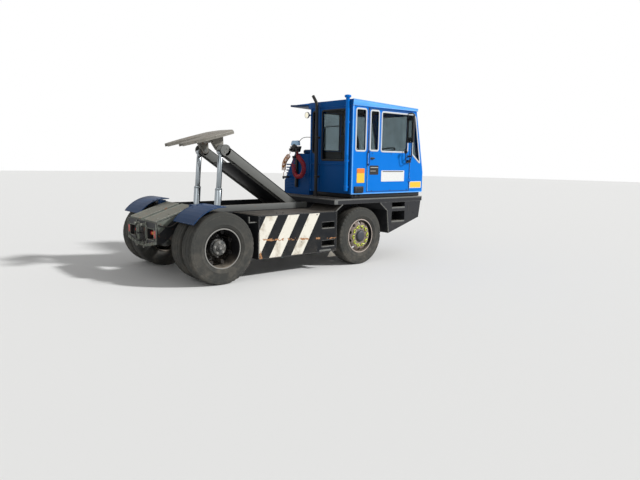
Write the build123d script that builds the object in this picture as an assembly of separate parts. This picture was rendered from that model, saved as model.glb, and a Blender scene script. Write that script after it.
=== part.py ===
from build123d import *
import math
import os

# Terminal tractor: a two-axle yard tractor with a one-man cab set to the right, an engine cover
# on its left, and a fifth wheel on a lift arm that two telescopic cylinders raise.
# Millimetres. While it is drawn, X is forward from the rear axle, Y to the left and Z up from
# the ground. Every piece is then moved so that the origin lies on the ground at mid length.

# Wheels
wheelbase = 2800
rear_tyre_radius = 530
front_tyre_radius = 505
tyre_width = 280
tyre_bead_radius = 304
tyre_wall_radius = 390
tyre_shoulder = (34, 48)
wheel_sides = 24
twin_spacing = 330
rear_half_width = 1240
front_half_width = 1200
rim_seat_radius = 286
rim_flange_radius = 298
rim_half_width = 122
rim_wall = 10
rim_flange_width = 9
shaft_gap = 0.3
running_gap = 0.08
hinge_pin_radius = 6
hinge_half = 28

# Frame
frame_outer = 470
frame_plate = 30
frame_top = 1080
frame_depth = 340
frame_rear = -680
front_overhang = 1610
bumper_front = wheelbase + front_overhang
frame_front = bumper_front - 160
cross_height = 100
cross_length = 90

# Rear end
ramp_top_x = -50
ramp_low_z = 870
ramp_plate = 20
ramp_slot_half = 60
end_plate = 20
end_half_width = 520
end_low_z = 560
end_middle_z = 490
lamp_box = (200, 450)
lamp_box_z = (605, 785)
lamp_box_depth = 90
tow_ear = 25
tow_gap = 90
tow_z = 560
tow_reach = 80
tow_ear_radius = 38
tow_bore_radius = 21

# Lift arm, drawn raised
arm_pivot = (wheelbase - 780, 970)
arm_pin_radius = 40
arm_outer = 425
arm_inner = 275
arm_plate = 20
arm_half_depth = 75
arm_boss_radius = 90
boss_centre = (530, 1950)
arm_web = 15
arm_web_start = 260
arm_web_end_gap = 223

# Lift cylinders
foot_pin = (363, 360)
foot_eye_radius = 44
foot_pin_radius = 25
head_drop = 58
head_back = 24
cylinder_half_track = 350
barrel_radius = 72
barrel_length = 540
barrel_floor = 48
sleeve_radius = 57
sleeve_length = 505
sleeve_top = 992
rod_radius = 42
rod_overlap = 50
eye_radius = 45
eye_width = 90

# Fifth wheel
plate_tilt = 15
plate_height = 262
plate_front = 330
plate_back = -645
plate_half_width = 450
plate_thickness = 18
skirt_depth = 48
lug_outer = 265
lug_inner = 225
lug_flange = 60
wheel_pin_radius = 35
throat_radius = 25.7
jaw_depth = 45
jaw_radius = 95

# Side boxes
box_rear = 600
box_front = wheelbase - 620
box_inner = 500
box_low = 310
box_top = 975
pocket_x = (box_front - 330, box_front - 50)
pocket_depth = 150
pocket_heights = ((395, 500), (700, 805))

# Front deck and bumper
deck_rear = wheelbase - 650
deck_top = 1165
deck_sheet = 15
deck_edge = 50
bumper_low_rear = (wheelbase + 700, 507)
bumper_low_front = (bumper_front - 80, 765)
arch_front_top = wheelbase + 470
arch_front_mid = (wheelbase + 650, 930)
arch_rear_low = (wheelbase - 615, 975)
arch_rear_top = wheelbase - 470
side_sheet = 30
step_x = (wheelbase + 770, wheelbase + 1130)
step_heights = ((715, 905), (970, 1070))
step_inner = 920
step_tread = 25

# Cab
cab_right = -1200
cab_left = -70
cab_wall = 40
cab_rear = wheelbase - 270
cab_low = deck_top + 85
cab_front = bumper_front - 10
belt_z = 1620
roof_line = 2745
screen_top_x = cab_front - 240
roof_front_height = 40
roof_rear_height = 105
roof_front_top = roof_line + roof_front_height
roof_rear_top = roof_line + roof_rear_height
roof_overhang = 15
canopy_left = 530
canopy_front = cab_rear + 770
door_rear = cab_rear + 365
door_front = cab_front - 390
door_low = cab_low + 12
door_top = roof_line - 23
window_low = 1990
window_top = roof_line - 55
door_gap = 6
glass = 6

# Engine and its cover
engine_x = (wheelbase - 120, wheelbase + 960)
engine_y = (20, 395)
engine_top = 1690
cover_x = (cab_rear + 20, bumper_front - 130)
cover_right = -25
cover_top = 1930
cover_shoulder = 420
cover_low_left = 740
cover_shoulder_low = 1410
cover_wall = 25
hatch_x = (cover_x[0] + 170, cover_x[1] - 170)
hatch_low = 0.10
hatch_high = 0.92
hatch_gap = 6

# Front axle
kingpin_track = 870
kingpin_radius = 22
axle_boss_radius = 46
axle_boss_half = 55
beam_half_height = 45
beam_half_width = 50
spindle_radius = 42
spring_track = 455
spring_half_length = 450
spring_width = 70
leaf_thickness = 14
steer_arm_reach = 190
steer_arm_thick = 26

frame_inner = frame_outer - frame_plate
frame_low = frame_top - frame_depth
rear_end_x = frame_rear - end_plate - tow_reach
origin_x = (rear_end_x + bumper_front) / 2

os.makedirs("parts", exist_ok=True)


def block(x, y, z):
    size = (x[1] - x[0], y[1] - y[0], z[1] - z[0])
    centre = ((x[0] + x[1]) / 2, (y[0] + y[1]) / 2, (z[0] + z[1]) / 2)
    return Pos(*centre) * Box(*size)


def across(points, y_low, y_high):
    # An outline in X and Z, drawn out along Y.
    plane = Plane((0, y_high, 0), x_dir=(1, 0, 0), z_dir=(0, -1, 0))
    return extrude(plane * make_face(Polyline(*points, close=True)), y_high - y_low)


def along(points, x_low, x_high):
    # An outline in Y and Z, drawn out along X.
    plane = Plane((x_low, 0, 0), x_dir=(0, 1, 0), z_dir=(1, 0, 0))
    return extrude(plane * make_face(Polyline(*points, close=True)), x_high - x_low)


def upward(points, z_low, z_high):
    plane = Plane((0, 0, z_low))
    return extrude(plane * make_face(Polyline(*points, close=True)), z_high - z_low)


def section(radius, sides):
    # A circle, or a polygon whose flats lie at that radius, the lowest flat level.
    if sides is None:
        return Circle(radius)
    return RegularPolygon(radius, sides, major_radius=False, rotation=90 + 180 / sides)


def rod_y(x, z, radius, y_low, y_high, sides=None):
    plane = Plane((x, y_low, z), x_dir=(1, 0, 0), z_dir=(0, 1, 0))
    return extrude(plane * section(radius, sides), y_high - y_low)


def rod_z(x, y, radius, z_low, z_high, sides=None):
    return extrude(Plane((x, y, z_low)) * section(radius, sides), z_high - z_low)


def rod_between(start, end, radius, sides=None):
    line = Vector(*end) - Vector(*start)
    plane = Plane(Vector(*start), z_dir=line)
    return extrude(plane * section(radius, sides), line.length)


def turned(stations, x, z, sides=wheel_sides):
    # Straight walls through sections at (radius, Y) stations along the cross line through x and z.
    sections = []
    for radius, y in stations:
        plane = Plane((x, y, z), x_dir=(1, 0, 0), z_dir=(0, 1, 0))
        sections.append(plane * section(radius, sides))
    return loft(sections, ruled=True)


def left_of(shape):
    return mirror(shape, about=Plane.XZ)


def both_sides(shapes):
    return list(shapes) + [left_of(shape) for shape in shapes]


def save(node, *shapes):
    solids = []
    for shape in shapes:
        solids += [Pos(-origin_x, 0, 0) * solid for solid in shape.solids()]
    export_step(Compound(solids), f"parts/{node}.step")


# Places along the raised lift arm

arm_line = Vector(arm_pivot[0] - boss_centre[0], arm_pivot[1] - boss_centre[1])
arm_length = arm_line.length
arm_slope = math.degrees(math.atan2(arm_line.Y, arm_line.X))


def on_arm(forward, up):
    # A place in X and Z, given by its distances along the arm and square to it.
    slope = math.radians(arm_slope)
    x = boss_centre[0] + forward * math.cos(slope) - up * math.sin(slope)
    z = boss_centre[1] + forward * math.sin(slope) + up * math.cos(slope)
    return (x, z)


head_pin = on_arm(-head_back, -head_drop)
cylinder_line = Vector(head_pin[0] - foot_pin[0], head_pin[1] - foot_pin[1])
cylinder_length = cylinder_line.length
cylinder_lean = math.degrees(math.atan2(cylinder_line.X, cylinder_line.Y))


# Wheels

rim_slope = rim_half_width - rim_flange_width - 3
tyre_bead_y = rim_slope - shaft_gap


def tyre(centre_y, x, radius):
    drop, narrow = tyre_shoulder
    half = tyre_width / 2
    profile = [(tyre_bead_radius, tyre_bead_y), (tyre_wall_radius, half), (radius - drop, half - 8),
               (radius, half - narrow)]
    stations = [(reach, centre_y - y) for reach, y in profile]
    stations += [(reach, centre_y + y) for reach, y in profile[::-1]]
    bore = rod_y(x, radius, rim_seat_radius + shaft_gap, centre_y - half, centre_y + half, wheel_sides)
    return turned(stations, x, radius) - bore


def rim_barrel(centre_y, x, z):
    lip = rim_half_width
    profile = [(rim_flange_radius, lip), (rim_flange_radius, lip - rim_flange_width),
               (rim_seat_radius, rim_slope)]
    stations = [(reach, centre_y - y) for reach, y in profile]
    stations += [(reach, centre_y + y) for reach, y in profile[::-1]]
    bore = rod_y(x, z, rim_seat_radius - rim_wall, centre_y - lip - 1, centre_y + lip + 1, wheel_sides)
    return turned(stations, x, z) - bore


rear_outer_centre = rear_half_width - tyre_width / 2
rear_inner_centre = rear_outer_centre - twin_spacing
disc_plane = (rear_outer_centre + rear_inner_centre) / 2
front_centre = front_half_width - tyre_width / 2
disc_edge = rim_seat_radius - rim_wall + 1
disc_thick = 11
hand_hole_radius = 22
stub_end_y = rear_half_width - 155
stub_radius = 55
hub_bore = stub_radius + shaft_gap
hub_sides = 16
front_face_y = front_centre + 112


def hand_holes(count, reach, x, z, y_low, y_high):
    holes = []
    for step in range(count):
        angle = math.radians((step + 0.5) * 360 / count)
        holes.append(rod_y(x + reach * math.cos(angle), z + reach * math.sin(angle), hand_hole_radius,
                           y_low, y_high, 6))
    return holes


def rear_dish(side, x, z):
    # The cone from the plane where the twin discs meet to one rim; side is 1 for the outer wheel.
    shell = turned([(220, disc_plane), (disc_edge, disc_plane + side * 80),
                    (disc_edge, disc_plane + side * 96)], x, z)
    hollow = turned([(212, disc_plane + side * disc_thick), (disc_edge - 6, disc_plane + side * 97)], x, z)
    return shell - hollow


def rear_rims():
    x = 0
    z = rear_tyre_radius
    wheel = rim_barrel(rear_outer_centre, x, z) + rim_barrel(rear_inner_centre, x, z)
    wheel += rear_dish(1, x, z)
    wheel += rear_dish(-1, x, z)
    wheel += turned([(205, disc_plane - 245), (205, disc_plane - 85), (140, disc_plane - 69),
                     (132, stub_end_y + 25), (116, stub_end_y + 51), (60, stub_end_y + 60),
                     (60, stub_end_y + 73)], x, z, hub_sides)
    wheel -= rod_y(x, z, hub_bore, disc_plane - 246, stub_end_y + 1)
    for hole in hand_holes(8, 243, x, z, disc_plane - 80, disc_plane + 80):
        wheel -= hole
    return wheel


def front_rim():
    x = wheelbase
    z = front_tyre_radius
    face_y = front_face_y
    shell = turned([(disc_edge, face_y - 72), (disc_edge, face_y - 56), (208, face_y)], x, z)
    shell -= turned([(disc_edge - 7, face_y - 73), (200, face_y - disc_thick)], x, z)
    hub = turned([(200, face_y - 217), (200, face_y - 87), (118, face_y - 76), (118, face_y + 8),
                  (96, face_y + 30)], x, z, hub_sides)
    wheel = rim_barrel(front_centre, x, z) + shell + hub
    wheel -= rod_y(x, z, spindle_radius + shaft_gap, face_y - 218, face_y - 31)
    for hole in hand_holes(10, 240, x, z, face_y - 75, face_y + 1):
        wheel -= hole
    return wheel


twin_tyres = [
    tyre(rear_outer_centre, 0, rear_tyre_radius),
    tyre(rear_inner_centre, 0, rear_tyre_radius),
]
rear_rim_left = rear_rims()
front_tyre_left = tyre(front_centre, wheelbase, front_tyre_radius)
front_rim_left = front_rim()
save("rear_tyres_left", *twin_tyres)
save("rear_tyres_right", *[left_of(piece) for piece in twin_tyres])
save("rear_rims_left", rear_rim_left)
save("rear_rims_right", left_of(rear_rim_left))
save("front_tyre_left", front_tyre_left)
save("front_tyre_right", left_of(front_tyre_left))
save("front_rim_left", front_rim_left)
save("front_rim_right", left_of(front_rim_left))


# Frame

def frame_rail():
    outline = [
        (frame_rear, ramp_low_z), (ramp_top_x, frame_top), (frame_front, frame_top),
        (frame_front, frame_low + 60), (frame_front - 350, frame_low),
        (foot_pin[0] + 160, frame_low), (foot_pin[0] + 70, foot_pin[1] - 50),
        (foot_pin[0] - 70, foot_pin[1] - 50), (foot_pin[0] - 130, frame_low - 40),
        (-400, frame_low - 40), (-560, end_low_z), (frame_rear, end_low_z),
    ]
    return across(outline, frame_inner, frame_outer)


def cross_members():
    # Front edge in X and low edge in Z of each beam between the two rails.
    places = [(frame_rear + 350, frame_low + 5), (box_rear, frame_low), (arm_pivot[0] - 620, frame_low),
              (engine_x[0] - 430, frame_low),
              (engine_x[0] + 60, frame_low), (engine_x[1] - 150, frame_low),
              (frame_front - cross_length, frame_low + 60)]
    beams = []
    for x, z in places:
        beams.append(block((x, x + cross_length), (-frame_inner, frame_inner), (z, z + cross_height)))
    return beams


rail = frame_rail()
save("frame_rails", left_of(rail), rail)
save("cross_members", *cross_members())
save("lift_pins",
     rod_y(arm_pivot[0], arm_pivot[1], arm_pin_radius, -frame_inner, frame_inner),
     rod_y(foot_pin[0], foot_pin[1], foot_pin_radius, -frame_inner, frame_inner))


# Rear end

def ramps():
    slope = math.atan2(frame_top - ramp_low_z, ramp_top_x - frame_rear)
    rise = ramp_plate / math.cos(slope)
    outline = [(frame_rear, ramp_low_z), (ramp_top_x, frame_top), (ramp_top_x, frame_top + rise),
               (frame_rear, ramp_low_z + rise)]
    plate = across(outline, ramp_slot_half, frame_outer)
    web = across([(frame_rear, ramp_low_z - 120), (ramp_top_x, frame_top - 90),
                  (ramp_top_x, frame_top), (frame_rear, ramp_low_z)],
                 ramp_slot_half, ramp_slot_half + 20)
    return plate + web


def end_plate_with_openings():
    half = end_half_width
    outline = [(-half, ramp_low_z), (half, ramp_low_z), (half, end_low_z), (150, end_middle_z),
               (-150, end_middle_z), (-half, end_low_z)]
    plate = along(outline, frame_rear - end_plate, frame_rear)
    for side in (-1, 1):
        low, high = sorted((side * lamp_box[0], side * lamp_box[1]))
        plate -= block((frame_rear - end_plate - 1, frame_rear + 1), (low, high), lamp_box_z)
    return plate


def lamp_housing():
    back = frame_rear + lamp_box_depth
    case = block((frame_rear - 6, back), (lamp_box[0] + 0.3, lamp_box[1] - 12), lamp_box_z)
    case -= block((frame_rear - 7, back - 12), (lamp_box[0] + 12, lamp_box[1] - 24),
                  (lamp_box_z[0] + 12, lamp_box_z[1] - 12))
    return case


def rear_lens():
    back = frame_rear + lamp_box_depth - 12
    middle = (lamp_box_z[0] + lamp_box_z[1]) / 2
    return block((back - 60, back), (lamp_box[1] - 130, lamp_box[1] - 24.3), (middle - 45, middle + 55))


def tow_jaw():
    x_back = frame_rear - end_plate
    jaw = None
    for z in (tow_z, tow_z + tow_ear + tow_gap):
        x_eye = x_back - tow_reach + tow_ear_radius
        ear = block((x_eye, x_back), (-tow_ear_radius, tow_ear_radius), (z, z + tow_ear))
        ear += rod_z(x_eye, 0, tow_ear_radius, z, z + tow_ear, 16)
        ear -= rod_z(x_eye, 0, tow_bore_radius, z - 1, z + tow_ear + 1)
        jaw = ear if jaw is None else jaw + ear
    back = block((x_back - 12, x_back), (-80, 80), (tow_z - 10, tow_z + 2 * tow_ear + tow_gap + 10))
    return jaw + back


ramp_left = ramps()
save("rear_ramps", left_of(ramp_left), ramp_left)
save("rear_end_plate", end_plate_with_openings() + tow_jaw())
save("rear_lamp_housings", *both_sides([lamp_housing()]))
save("rear_lamp_lenses", *both_sides([rear_lens()]))


# Rear axle and prop shaft

def rear_axle():
    z = rear_tyre_radius
    reach = disc_plane - 275
    tube = rod_y(0, z, 75, -reach, reach, 12)
    stubs = rod_y(0, z, stub_radius, -stub_end_y, stub_end_y)
    bowl = turned([(90, -215), (165, -120), (178, 0), (165, 120), (90, 215)], 0, z, 16)
    nose = rod_between((100, 0, z), (300, 0, z + 18), 70, 12)
    axle = tube + stubs + bowl + nose
    for side in (-1, 1):
        low, high = sorted((side * (frame_inner - 40), side * (frame_outer + 50)))
        axle += block((-95, 95), (low, high), (z + 40, frame_low - 40))
    return axle


gearbox_rear = engine_x[0] - 430
save("rear_axle", rear_axle())
prop_shaft = rod_between((301.5, 0, rear_tyre_radius + 18), (gearbox_rear - 4, 0, frame_low - 50), 45, 12)
gearbox = block((gearbox_rear, engine_x[0] + 60), (-170, 170), (frame_low - 140, frame_low))
save("drive_line", prop_shaft, gearbox)


# Rear mudguards

guard_inner = 600
guard_sheet = 12
guard_start = 86
guard_end = 141
guard_inner_y = 620


def mudguard():
    points = []
    outer = []
    steps = 8
    for step in range(steps + 1):
        angle = math.radians(guard_start + (guard_end - guard_start) * step / steps)
        points.append((guard_inner * math.cos(angle), rear_tyre_radius + guard_inner * math.sin(angle)))
        reach = guard_inner + guard_sheet
        outer.append((reach * math.cos(angle), rear_tyre_radius + reach * math.sin(angle)))
    sheet = across(points + outer[::-1], guard_inner_y, rear_half_width)
    top = rear_tyre_radius + guard_inner * math.sin(math.radians(100))
    bracket = block((-140, -80), (frame_outer, guard_inner_y + 25), (frame_top - 40, top + 4))
    return sheet + bracket


guard = mudguard()
save("rear_mudguards", left_of(guard), guard)


# Lift arm, drawn raised

def arm_outline(forward_low, forward_high, up_low, up_high):
    return [on_arm(forward_low, up_low), on_arm(forward_high, up_low),
            on_arm(forward_high, up_high), on_arm(forward_low, up_high)]


def lift_arm():
    depth = arm_half_depth
    half_rail = None
    for y_low, y_high in ((arm_outer - arm_plate, arm_outer), (arm_inner, arm_inner + arm_plate)):
        side = across(arm_outline(0, arm_length, -depth, depth), y_low, y_high)
        side += rod_y(boss_centre[0], boss_centre[1], arm_boss_radius, y_low, y_high, 14)
        side += rod_y(arm_pivot[0], arm_pivot[1], arm_boss_radius, y_low, y_high, 14)
        half_rail = side if half_rail is None else half_rail + side
    flange = across(arm_outline(40, arm_length - 60, depth - arm_plate, depth), arm_inner, arm_outer)
    half_rail += flange
    half_rail += rod_y(arm_pivot[0], arm_pivot[1], arm_boss_radius - 20, arm_inner, arm_outer, 14)
    half_rail -= rod_y(arm_pivot[0], arm_pivot[1], arm_pin_radius + shaft_gap, arm_inner - 1, arm_outer + 1)
    half_rail += rod_y(boss_centre[0], boss_centre[1], wheel_pin_radius, lug_inner - 8, arm_inner + 1)
    web = across(arm_outline(arm_web_start, arm_length - arm_web_end_gap, -depth, -depth + arm_web),
                 -arm_inner - 1, arm_inner + 1)
    return left_of(half_rail) + web + half_rail


save("lift_arm", lift_arm())


# Lift cylinders, drawn out

def on_cylinder(distance, y=cylinder_half_track):
    lean = math.radians(cylinder_lean)
    return (foot_pin[0] + distance * math.sin(lean), y, foot_pin[1] + distance * math.cos(lean))


def tube_along(start, end, radius):
    return rod_between(on_cylinder(start), on_cylinder(end), radius, 16)


def cylinder_barrel():
    y_low = cylinder_half_track - eye_width / 2
    y_high = cylinder_half_track + eye_width / 2
    barrel = tube_along(30, barrel_length, barrel_radius)
    barrel += rod_y(foot_pin[0], foot_pin[1], foot_eye_radius, y_low, y_high, 16)
    barrel -= tube_along(barrel_floor, barrel_length + 1, sleeve_radius + shaft_gap)
    barrel -= rod_y(foot_pin[0], foot_pin[1], foot_pin_radius + shaft_gap, y_low - 1, y_high + 1)
    return barrel


def cylinder_sleeve():
    low = sleeve_top - sleeve_length
    sleeve = tube_along(low, sleeve_top, sleeve_radius)
    sleeve -= tube_along(low - 1, sleeve_top + 1, rod_radius + shaft_gap)
    return sleeve


def cylinder_rod():
    y_low = cylinder_half_track - eye_width / 2
    y_high = cylinder_half_track + eye_width / 2
    rod = tube_along(sleeve_top - rod_overlap, cylinder_length - 20, rod_radius)
    rod += rod_y(head_pin[0], head_pin[1], eye_radius, y_low, y_high, 16)
    return rod


for node, piece in (("cylinder_barrel", cylinder_barrel()), ("cylinder_sleeve", cylinder_sleeve()),
                    ("cylinder_rod", cylinder_rod())):
    save(f"{node}_left", piece)
    save(f"{node}_right", left_of(piece))


# Fifth wheel, drawn level with its pin at the origin and then tilted

def slot_outline(margin):
    # The slot that a kingpin slides in by, open at the rear.
    mouth = 188 + margin
    middle = 45 + margin
    neck = throat_radius + margin
    return [(plate_back - 5, -mouth), (-160, -middle), (0, -neck), (0, neck), (-160, middle),
            (plate_back - 5, mouth)]


def plate_outline(inset):
    half = plate_half_width - inset
    front = plate_front - inset
    back = plate_back + inset
    return [(front, -150), (front - 60, -320 + inset), (205, -half + 20), (60, -half), (-300, -half + 20),
            (back + 60, -340 + inset), (back, -300), (back, 300), (back + 60, 340 - inset),
            (-300, half - 20), (60, half), (205, half - 20), (front - 60, 320 - inset), (front, 150)]


def fifth_wheel_plate():
    top = plate_height
    under = top - plate_thickness
    body = upward(plate_outline(0), top - skirt_depth, top)
    hollow = upward(plate_outline(22), top - skirt_depth - 1, under)
    hollow -= upward(slot_outline(24), top - skirt_depth - 2, top)
    hollow -= rod_z(0, 0, jaw_radius, top - 2 * skirt_depth, top, 16)
    body -= hollow
    body += rod_z(0, 0, jaw_radius, under - jaw_depth, under, 16)
    for side in (-1, 1):
        low, high = sorted((side * lug_inner, side * lug_outer))
        lug = across([(-150, under), (110, under), (58, 0), (-58, 0)], low, high)
        lug += rod_y(0, 0, 58, low, high, 16)
        low, high = sorted((side * (lug_outer - lug_flange), side * lug_outer))
        lug += across([(-152, under), (-136, under), (-50, 18), (-66, 18)], low, high)
        lug -= rod_y(0, 0, wheel_pin_radius + shaft_gap, low - 1, high + 1)
        body += lug
    for x in (-150, 90):
        body += block((x, x + 20), (-lug_inner - 1, lug_inner + 1), (top - 110, under))
    body -= upward(slot_outline(0), top - 112, top + 1)
    body -= rod_z(0, 0, throat_radius, top - 140, top + 60)
    return body


tilt = Rotation(0, -plate_tilt, 0)
fifth_wheel = Pos(boss_centre[0], 0, boss_centre[1]) * (tilt * fifth_wheel_plate())
save("fifth_wheel", fifth_wheel)


# Side boxes

def side_box():
    box = block((box_rear, box_front), (box_inner, rear_half_width), (box_low, box_top))
    for z_low, z_high in pocket_heights:
        box -= block(pocket_x, (rear_half_width - pocket_depth, rear_half_width + 1), (z_low, z_high))
    return box


def box_brackets():
    brackets = []
    for x in (box_rear + 120, box_front - 220):
        brackets.append(block((x, x + 80), (frame_outer, box_inner), (frame_low + 20, box_top - 60)))
    return brackets


box_left = side_box()
save("side_boxes", left_of(box_left), box_left)


# Front deck, arches, steps and bumper

def front_deck():
    half = front_half_width
    deck = block((deck_rear, bumper_front), (-half, half), (frame_top, deck_top))
    inner_low = frame_top - 1
    inner_high = deck_top - deck_sheet
    bays = [(-half + deck_edge, -frame_outer - 30), (-frame_inner + 20, frame_inner - 20),
            (frame_outer + 30, half - deck_edge)]
    for y_low, y_high in bays:
        deck -= block((deck_rear + deck_edge, bumper_front - deck_edge), (y_low, y_high), (inner_low, inner_high))
    deck -= block((engine_x[0] - 30, engine_x[1] + 30), (engine_y[0] - 20, engine_y[1] + 20), (inner_low, deck_top + 1))
    return deck


def bumper_side():
    half = front_half_width
    outline = [(arch_front_top, frame_top), arch_front_mid, bumper_low_rear, bumper_low_front,
               (bumper_front - 30, frame_top)]
    panel = across(outline, half - side_sheet, half)
    for z_low, z_high in step_heights:
        panel -= block(step_x, (half - side_sheet - 1, half + 1), (z_low, z_high))
    for z_low, _ in step_heights:
        panel += block(step_x, (step_inner, half - 1), (z_low - step_tread, z_low))
        for x in (step_x[0] - 12, step_x[1]):
            panel += block((x, x + 12), (step_inner, half - side_sheet), (z_low - step_tread, frame_top))
    panel += block((step_x[0] - 12, step_x[1] + 12), (step_inner - 12, step_inner),
                   (step_heights[0][0] - step_tread, frame_top))
    return panel


headlamp_y = 860
headlamp_z = 930
headlamp_radius = 75
headlamp_x = bumper_front - 94


def headlamp(radius, length):
    turn = Plane((headlamp_x, headlamp_y, headlamp_z), x_dir=(0, 1, 0), z_dir=(1, 0, 0))
    return extrude(turn * section(radius, 20), length)


def bumper_front_plate():
    top = frame_top
    inner = front_half_width - side_sheet
    low = bumper_low_front[1]
    outline = [(bumper_low_front[0] - 30, low), (bumper_low_front[0], low), (bumper_front - 30, top),
               (bumper_front - 60, top)]
    plate = across(outline, -inner, inner)
    for hole in both_sides([headlamp(headlamp_radius + shaft_gap, 60)]):
        plate -= hole
    return plate


def arch_liners():
    sheet = 8
    rear = across([arch_rear_low, (arch_rear_low[0] + sheet, arch_rear_low[1]),
                   (arch_rear_top + sheet, frame_top), (arch_rear_top, frame_top)],
                  frame_outer + 30, front_half_width)
    x_mid, z_mid = arch_front_mid
    x_low, z_low = bumper_low_rear
    front = across([(arch_front_top, frame_top), (x_mid, z_mid), (x_low, z_low), (x_low + sheet, z_low),
                    (x_mid + sheet, z_mid), (arch_front_top + sheet + 4, frame_top)],
                   frame_outer + 30, front_half_width - side_sheet)
    return [rear, front]


save("front_deck", front_deck())
bumper_left = bumper_side()
save("bumper_sides", left_of(bumper_left), bumper_left)
save("front_bumper", bumper_front_plate())
save("arch_liners", *both_sides(arch_liners()))


# Cab

def cab_outline(inset=0):
    return [(cab_rear + inset, cab_low + inset), (cab_front - inset, cab_low + inset),
            (cab_front - inset, belt_z), (screen_top_x - inset, roof_line), (cab_rear + inset, roof_line)]


screen_slope = (screen_top_x - cab_front) / (roof_line - belt_z)


def screen_x(z):
    # The outer face of the raked front at a height.
    return cab_front + (z - belt_z) * screen_slope


quarter_window = ((cab_rear + 80, door_rear - 45), (window_low, window_top + 10))
small_window = ((door_rear + 60, door_rear + 270), (window_low + 10, window_top))
door_window = ((door_rear + 340, door_front - 75), (window_low, window_top - 10))
corner_window_x = door_front + 55
left_windows = (((cab_rear + 110, door_rear + 355), (window_low, window_top)),
                ((door_rear + 435, door_front - 75), (window_low, window_top)))
rear_window = ((cab_right + 190, cab_left - 330), (window_low - 170, window_top))
rear_small_window = ((cab_left - 200, cab_left - 70), (window_low - 40, window_top))
screen_low = belt_z + 80
screen_high = roof_line - 65
screen_margin = 60


def window_hole(span, heights, y):
    return block(span, (y - 1, y + cab_wall + 1), heights)


def corner_hole(y_low, y_high):
    margin = 45
    low = belt_z + 170
    high = roof_line - 85
    outline = [(corner_window_x, window_low - 30), (screen_x(low) - margin - 10, low),
               (screen_x(high) - margin, high), (corner_window_x, high)]
    return across(outline, y_low, y_high)


def cab_right_side():
    wall = across(cab_outline(), cab_right, cab_right + cab_wall)
    wall -= block((door_rear - door_gap, door_front + door_gap), (cab_right - 1, cab_right + cab_wall + 1),
                  (cab_low - 1, door_top + door_gap))
    wall -= window_hole(*quarter_window, cab_right)
    wall -= corner_hole(cab_right - 1, cab_right + cab_wall + 1)
    wall -= block((cab_rear + 60, cab_rear + 282), (cab_right - 1, cab_right + cab_wall + 1),
                  (cab_low - 1, cab_low + 130))
    return wall


def cab_left_side():
    wall = across(cab_outline(), cab_left - cab_wall, cab_left)
    for span, heights in left_windows:
        wall -= window_hole(span, heights, cab_left - cab_wall)
    wall -= corner_hole(cab_left - cab_wall - 1, cab_left + 1)
    return wall


cab_inner_right = cab_right + cab_wall
cab_inner_left = cab_left - cab_wall


def cab_rear_wall():
    wall = block((cab_rear, cab_rear + cab_wall), (cab_inner_right, cab_inner_left), (cab_low, roof_line))
    for span, heights in (rear_window, rear_small_window):
        wall -= block((cab_rear - 1, cab_rear + cab_wall + 1), span, heights)
    return wall


def cab_front_wall():
    thick = cab_wall
    outline = [(cab_front - thick, cab_low), (cab_front, cab_low), (cab_front, belt_z),
               (screen_top_x, roof_line), (screen_top_x - thick, roof_line), (cab_front - thick, belt_z)]
    wall = across(outline, cab_inner_right, cab_inner_left)
    low = screen_low
    high = screen_high
    hole = across([(screen_x(low) - 120, low), (screen_x(low) + 60, low), (screen_x(high) + 60, high),
                   (screen_x(high) - 120, high)],
                  cab_inner_right + screen_margin, cab_inner_left - screen_margin)
    return wall - hole


def cab_floor():
    floor = block((cab_rear + cab_wall, cab_front - cab_wall), (cab_inner_right, cab_inner_left),
                  (cab_low, cab_low + cab_wall))
    return floor


def cab_roof():
    over = roof_overhang
    outline = [(cab_rear - over, roof_line), (screen_top_x + over, roof_line),
               (screen_top_x + over, roof_front_top), (cab_rear - over + 10, roof_rear_top)]
    roof = across(outline, cab_right - over, cab_left + over)
    x_low = cab_rear - over + 10
    slope = (roof_rear_top - roof_front_top) / (screen_top_x - cab_rear)
    front_drop = slope * (canopy_front - x_low)
    wing = loft([
        Plane((x_low, cab_left, 0), x_dir=(1, 0, 0), z_dir=(0, -1, 0)) * make_face(Polyline(
            (0, roof_rear_top - 60), (canopy_front - x_low, roof_rear_top - 60 - front_drop),
            (canopy_front - x_low, roof_rear_top - front_drop - 5), (0, roof_rear_top - 5), close=True)),
        Plane((x_low, canopy_left, 0), x_dir=(1, 0, 0), z_dir=(0, -1, 0)) * make_face(Polyline(
            (0, roof_rear_top - 30), (canopy_front - x_low - 150, roof_rear_top - 30 - front_drop),
            (canopy_front - x_low - 150, roof_rear_top - front_drop - 12), (0, roof_rear_top - 12),
            close=True)),
    ], ruled=True)
    return roof + wing


def cab_door():
    door = block((door_rear, door_front), (cab_right, cab_right + cab_wall), (door_low, door_top))
    door -= window_hole(*small_window, cab_right)
    door -= window_hole(*door_window, cab_right)
    handle_x = door_rear + 22
    handle_y = cab_right - 38
    low = window_low - 240
    door += rod_z(handle_x, handle_y, 11, low, window_low, 8)
    for z in (low + 12, window_low - 12):
        door += rod_between((handle_x, handle_y, z), (handle_x, cab_right + 1, z), 8, 6)
    return door


def pane(span, heights, y):
    middle = y + cab_wall / 2
    return block(span, (middle - glass / 2, middle + glass / 2), heights)


def fixed_glass():
    panes = [pane(*quarter_window, cab_right)]
    for span, heights in left_windows:
        panes.append(pane(span, heights, cab_left - cab_wall))
    for y in (cab_right, cab_left - cab_wall):
        middle = y + cab_wall / 2
        panes.append(corner_hole(middle - glass / 2, middle + glass / 2))
    for span, heights in (rear_window, rear_small_window):
        middle = cab_rear + cab_wall / 2
        panes.append(block((middle - glass / 2, middle + glass / 2), span, heights))
    low = screen_low
    high = screen_high
    screen = across([(screen_x(low) - 23, low), (screen_x(low) - 17, low), (screen_x(high) - 17, high),
                     (screen_x(high) - 23, high)],
                    cab_inner_right + screen_margin, cab_inner_left - screen_margin)
    panes.append(screen)
    return panes


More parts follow.
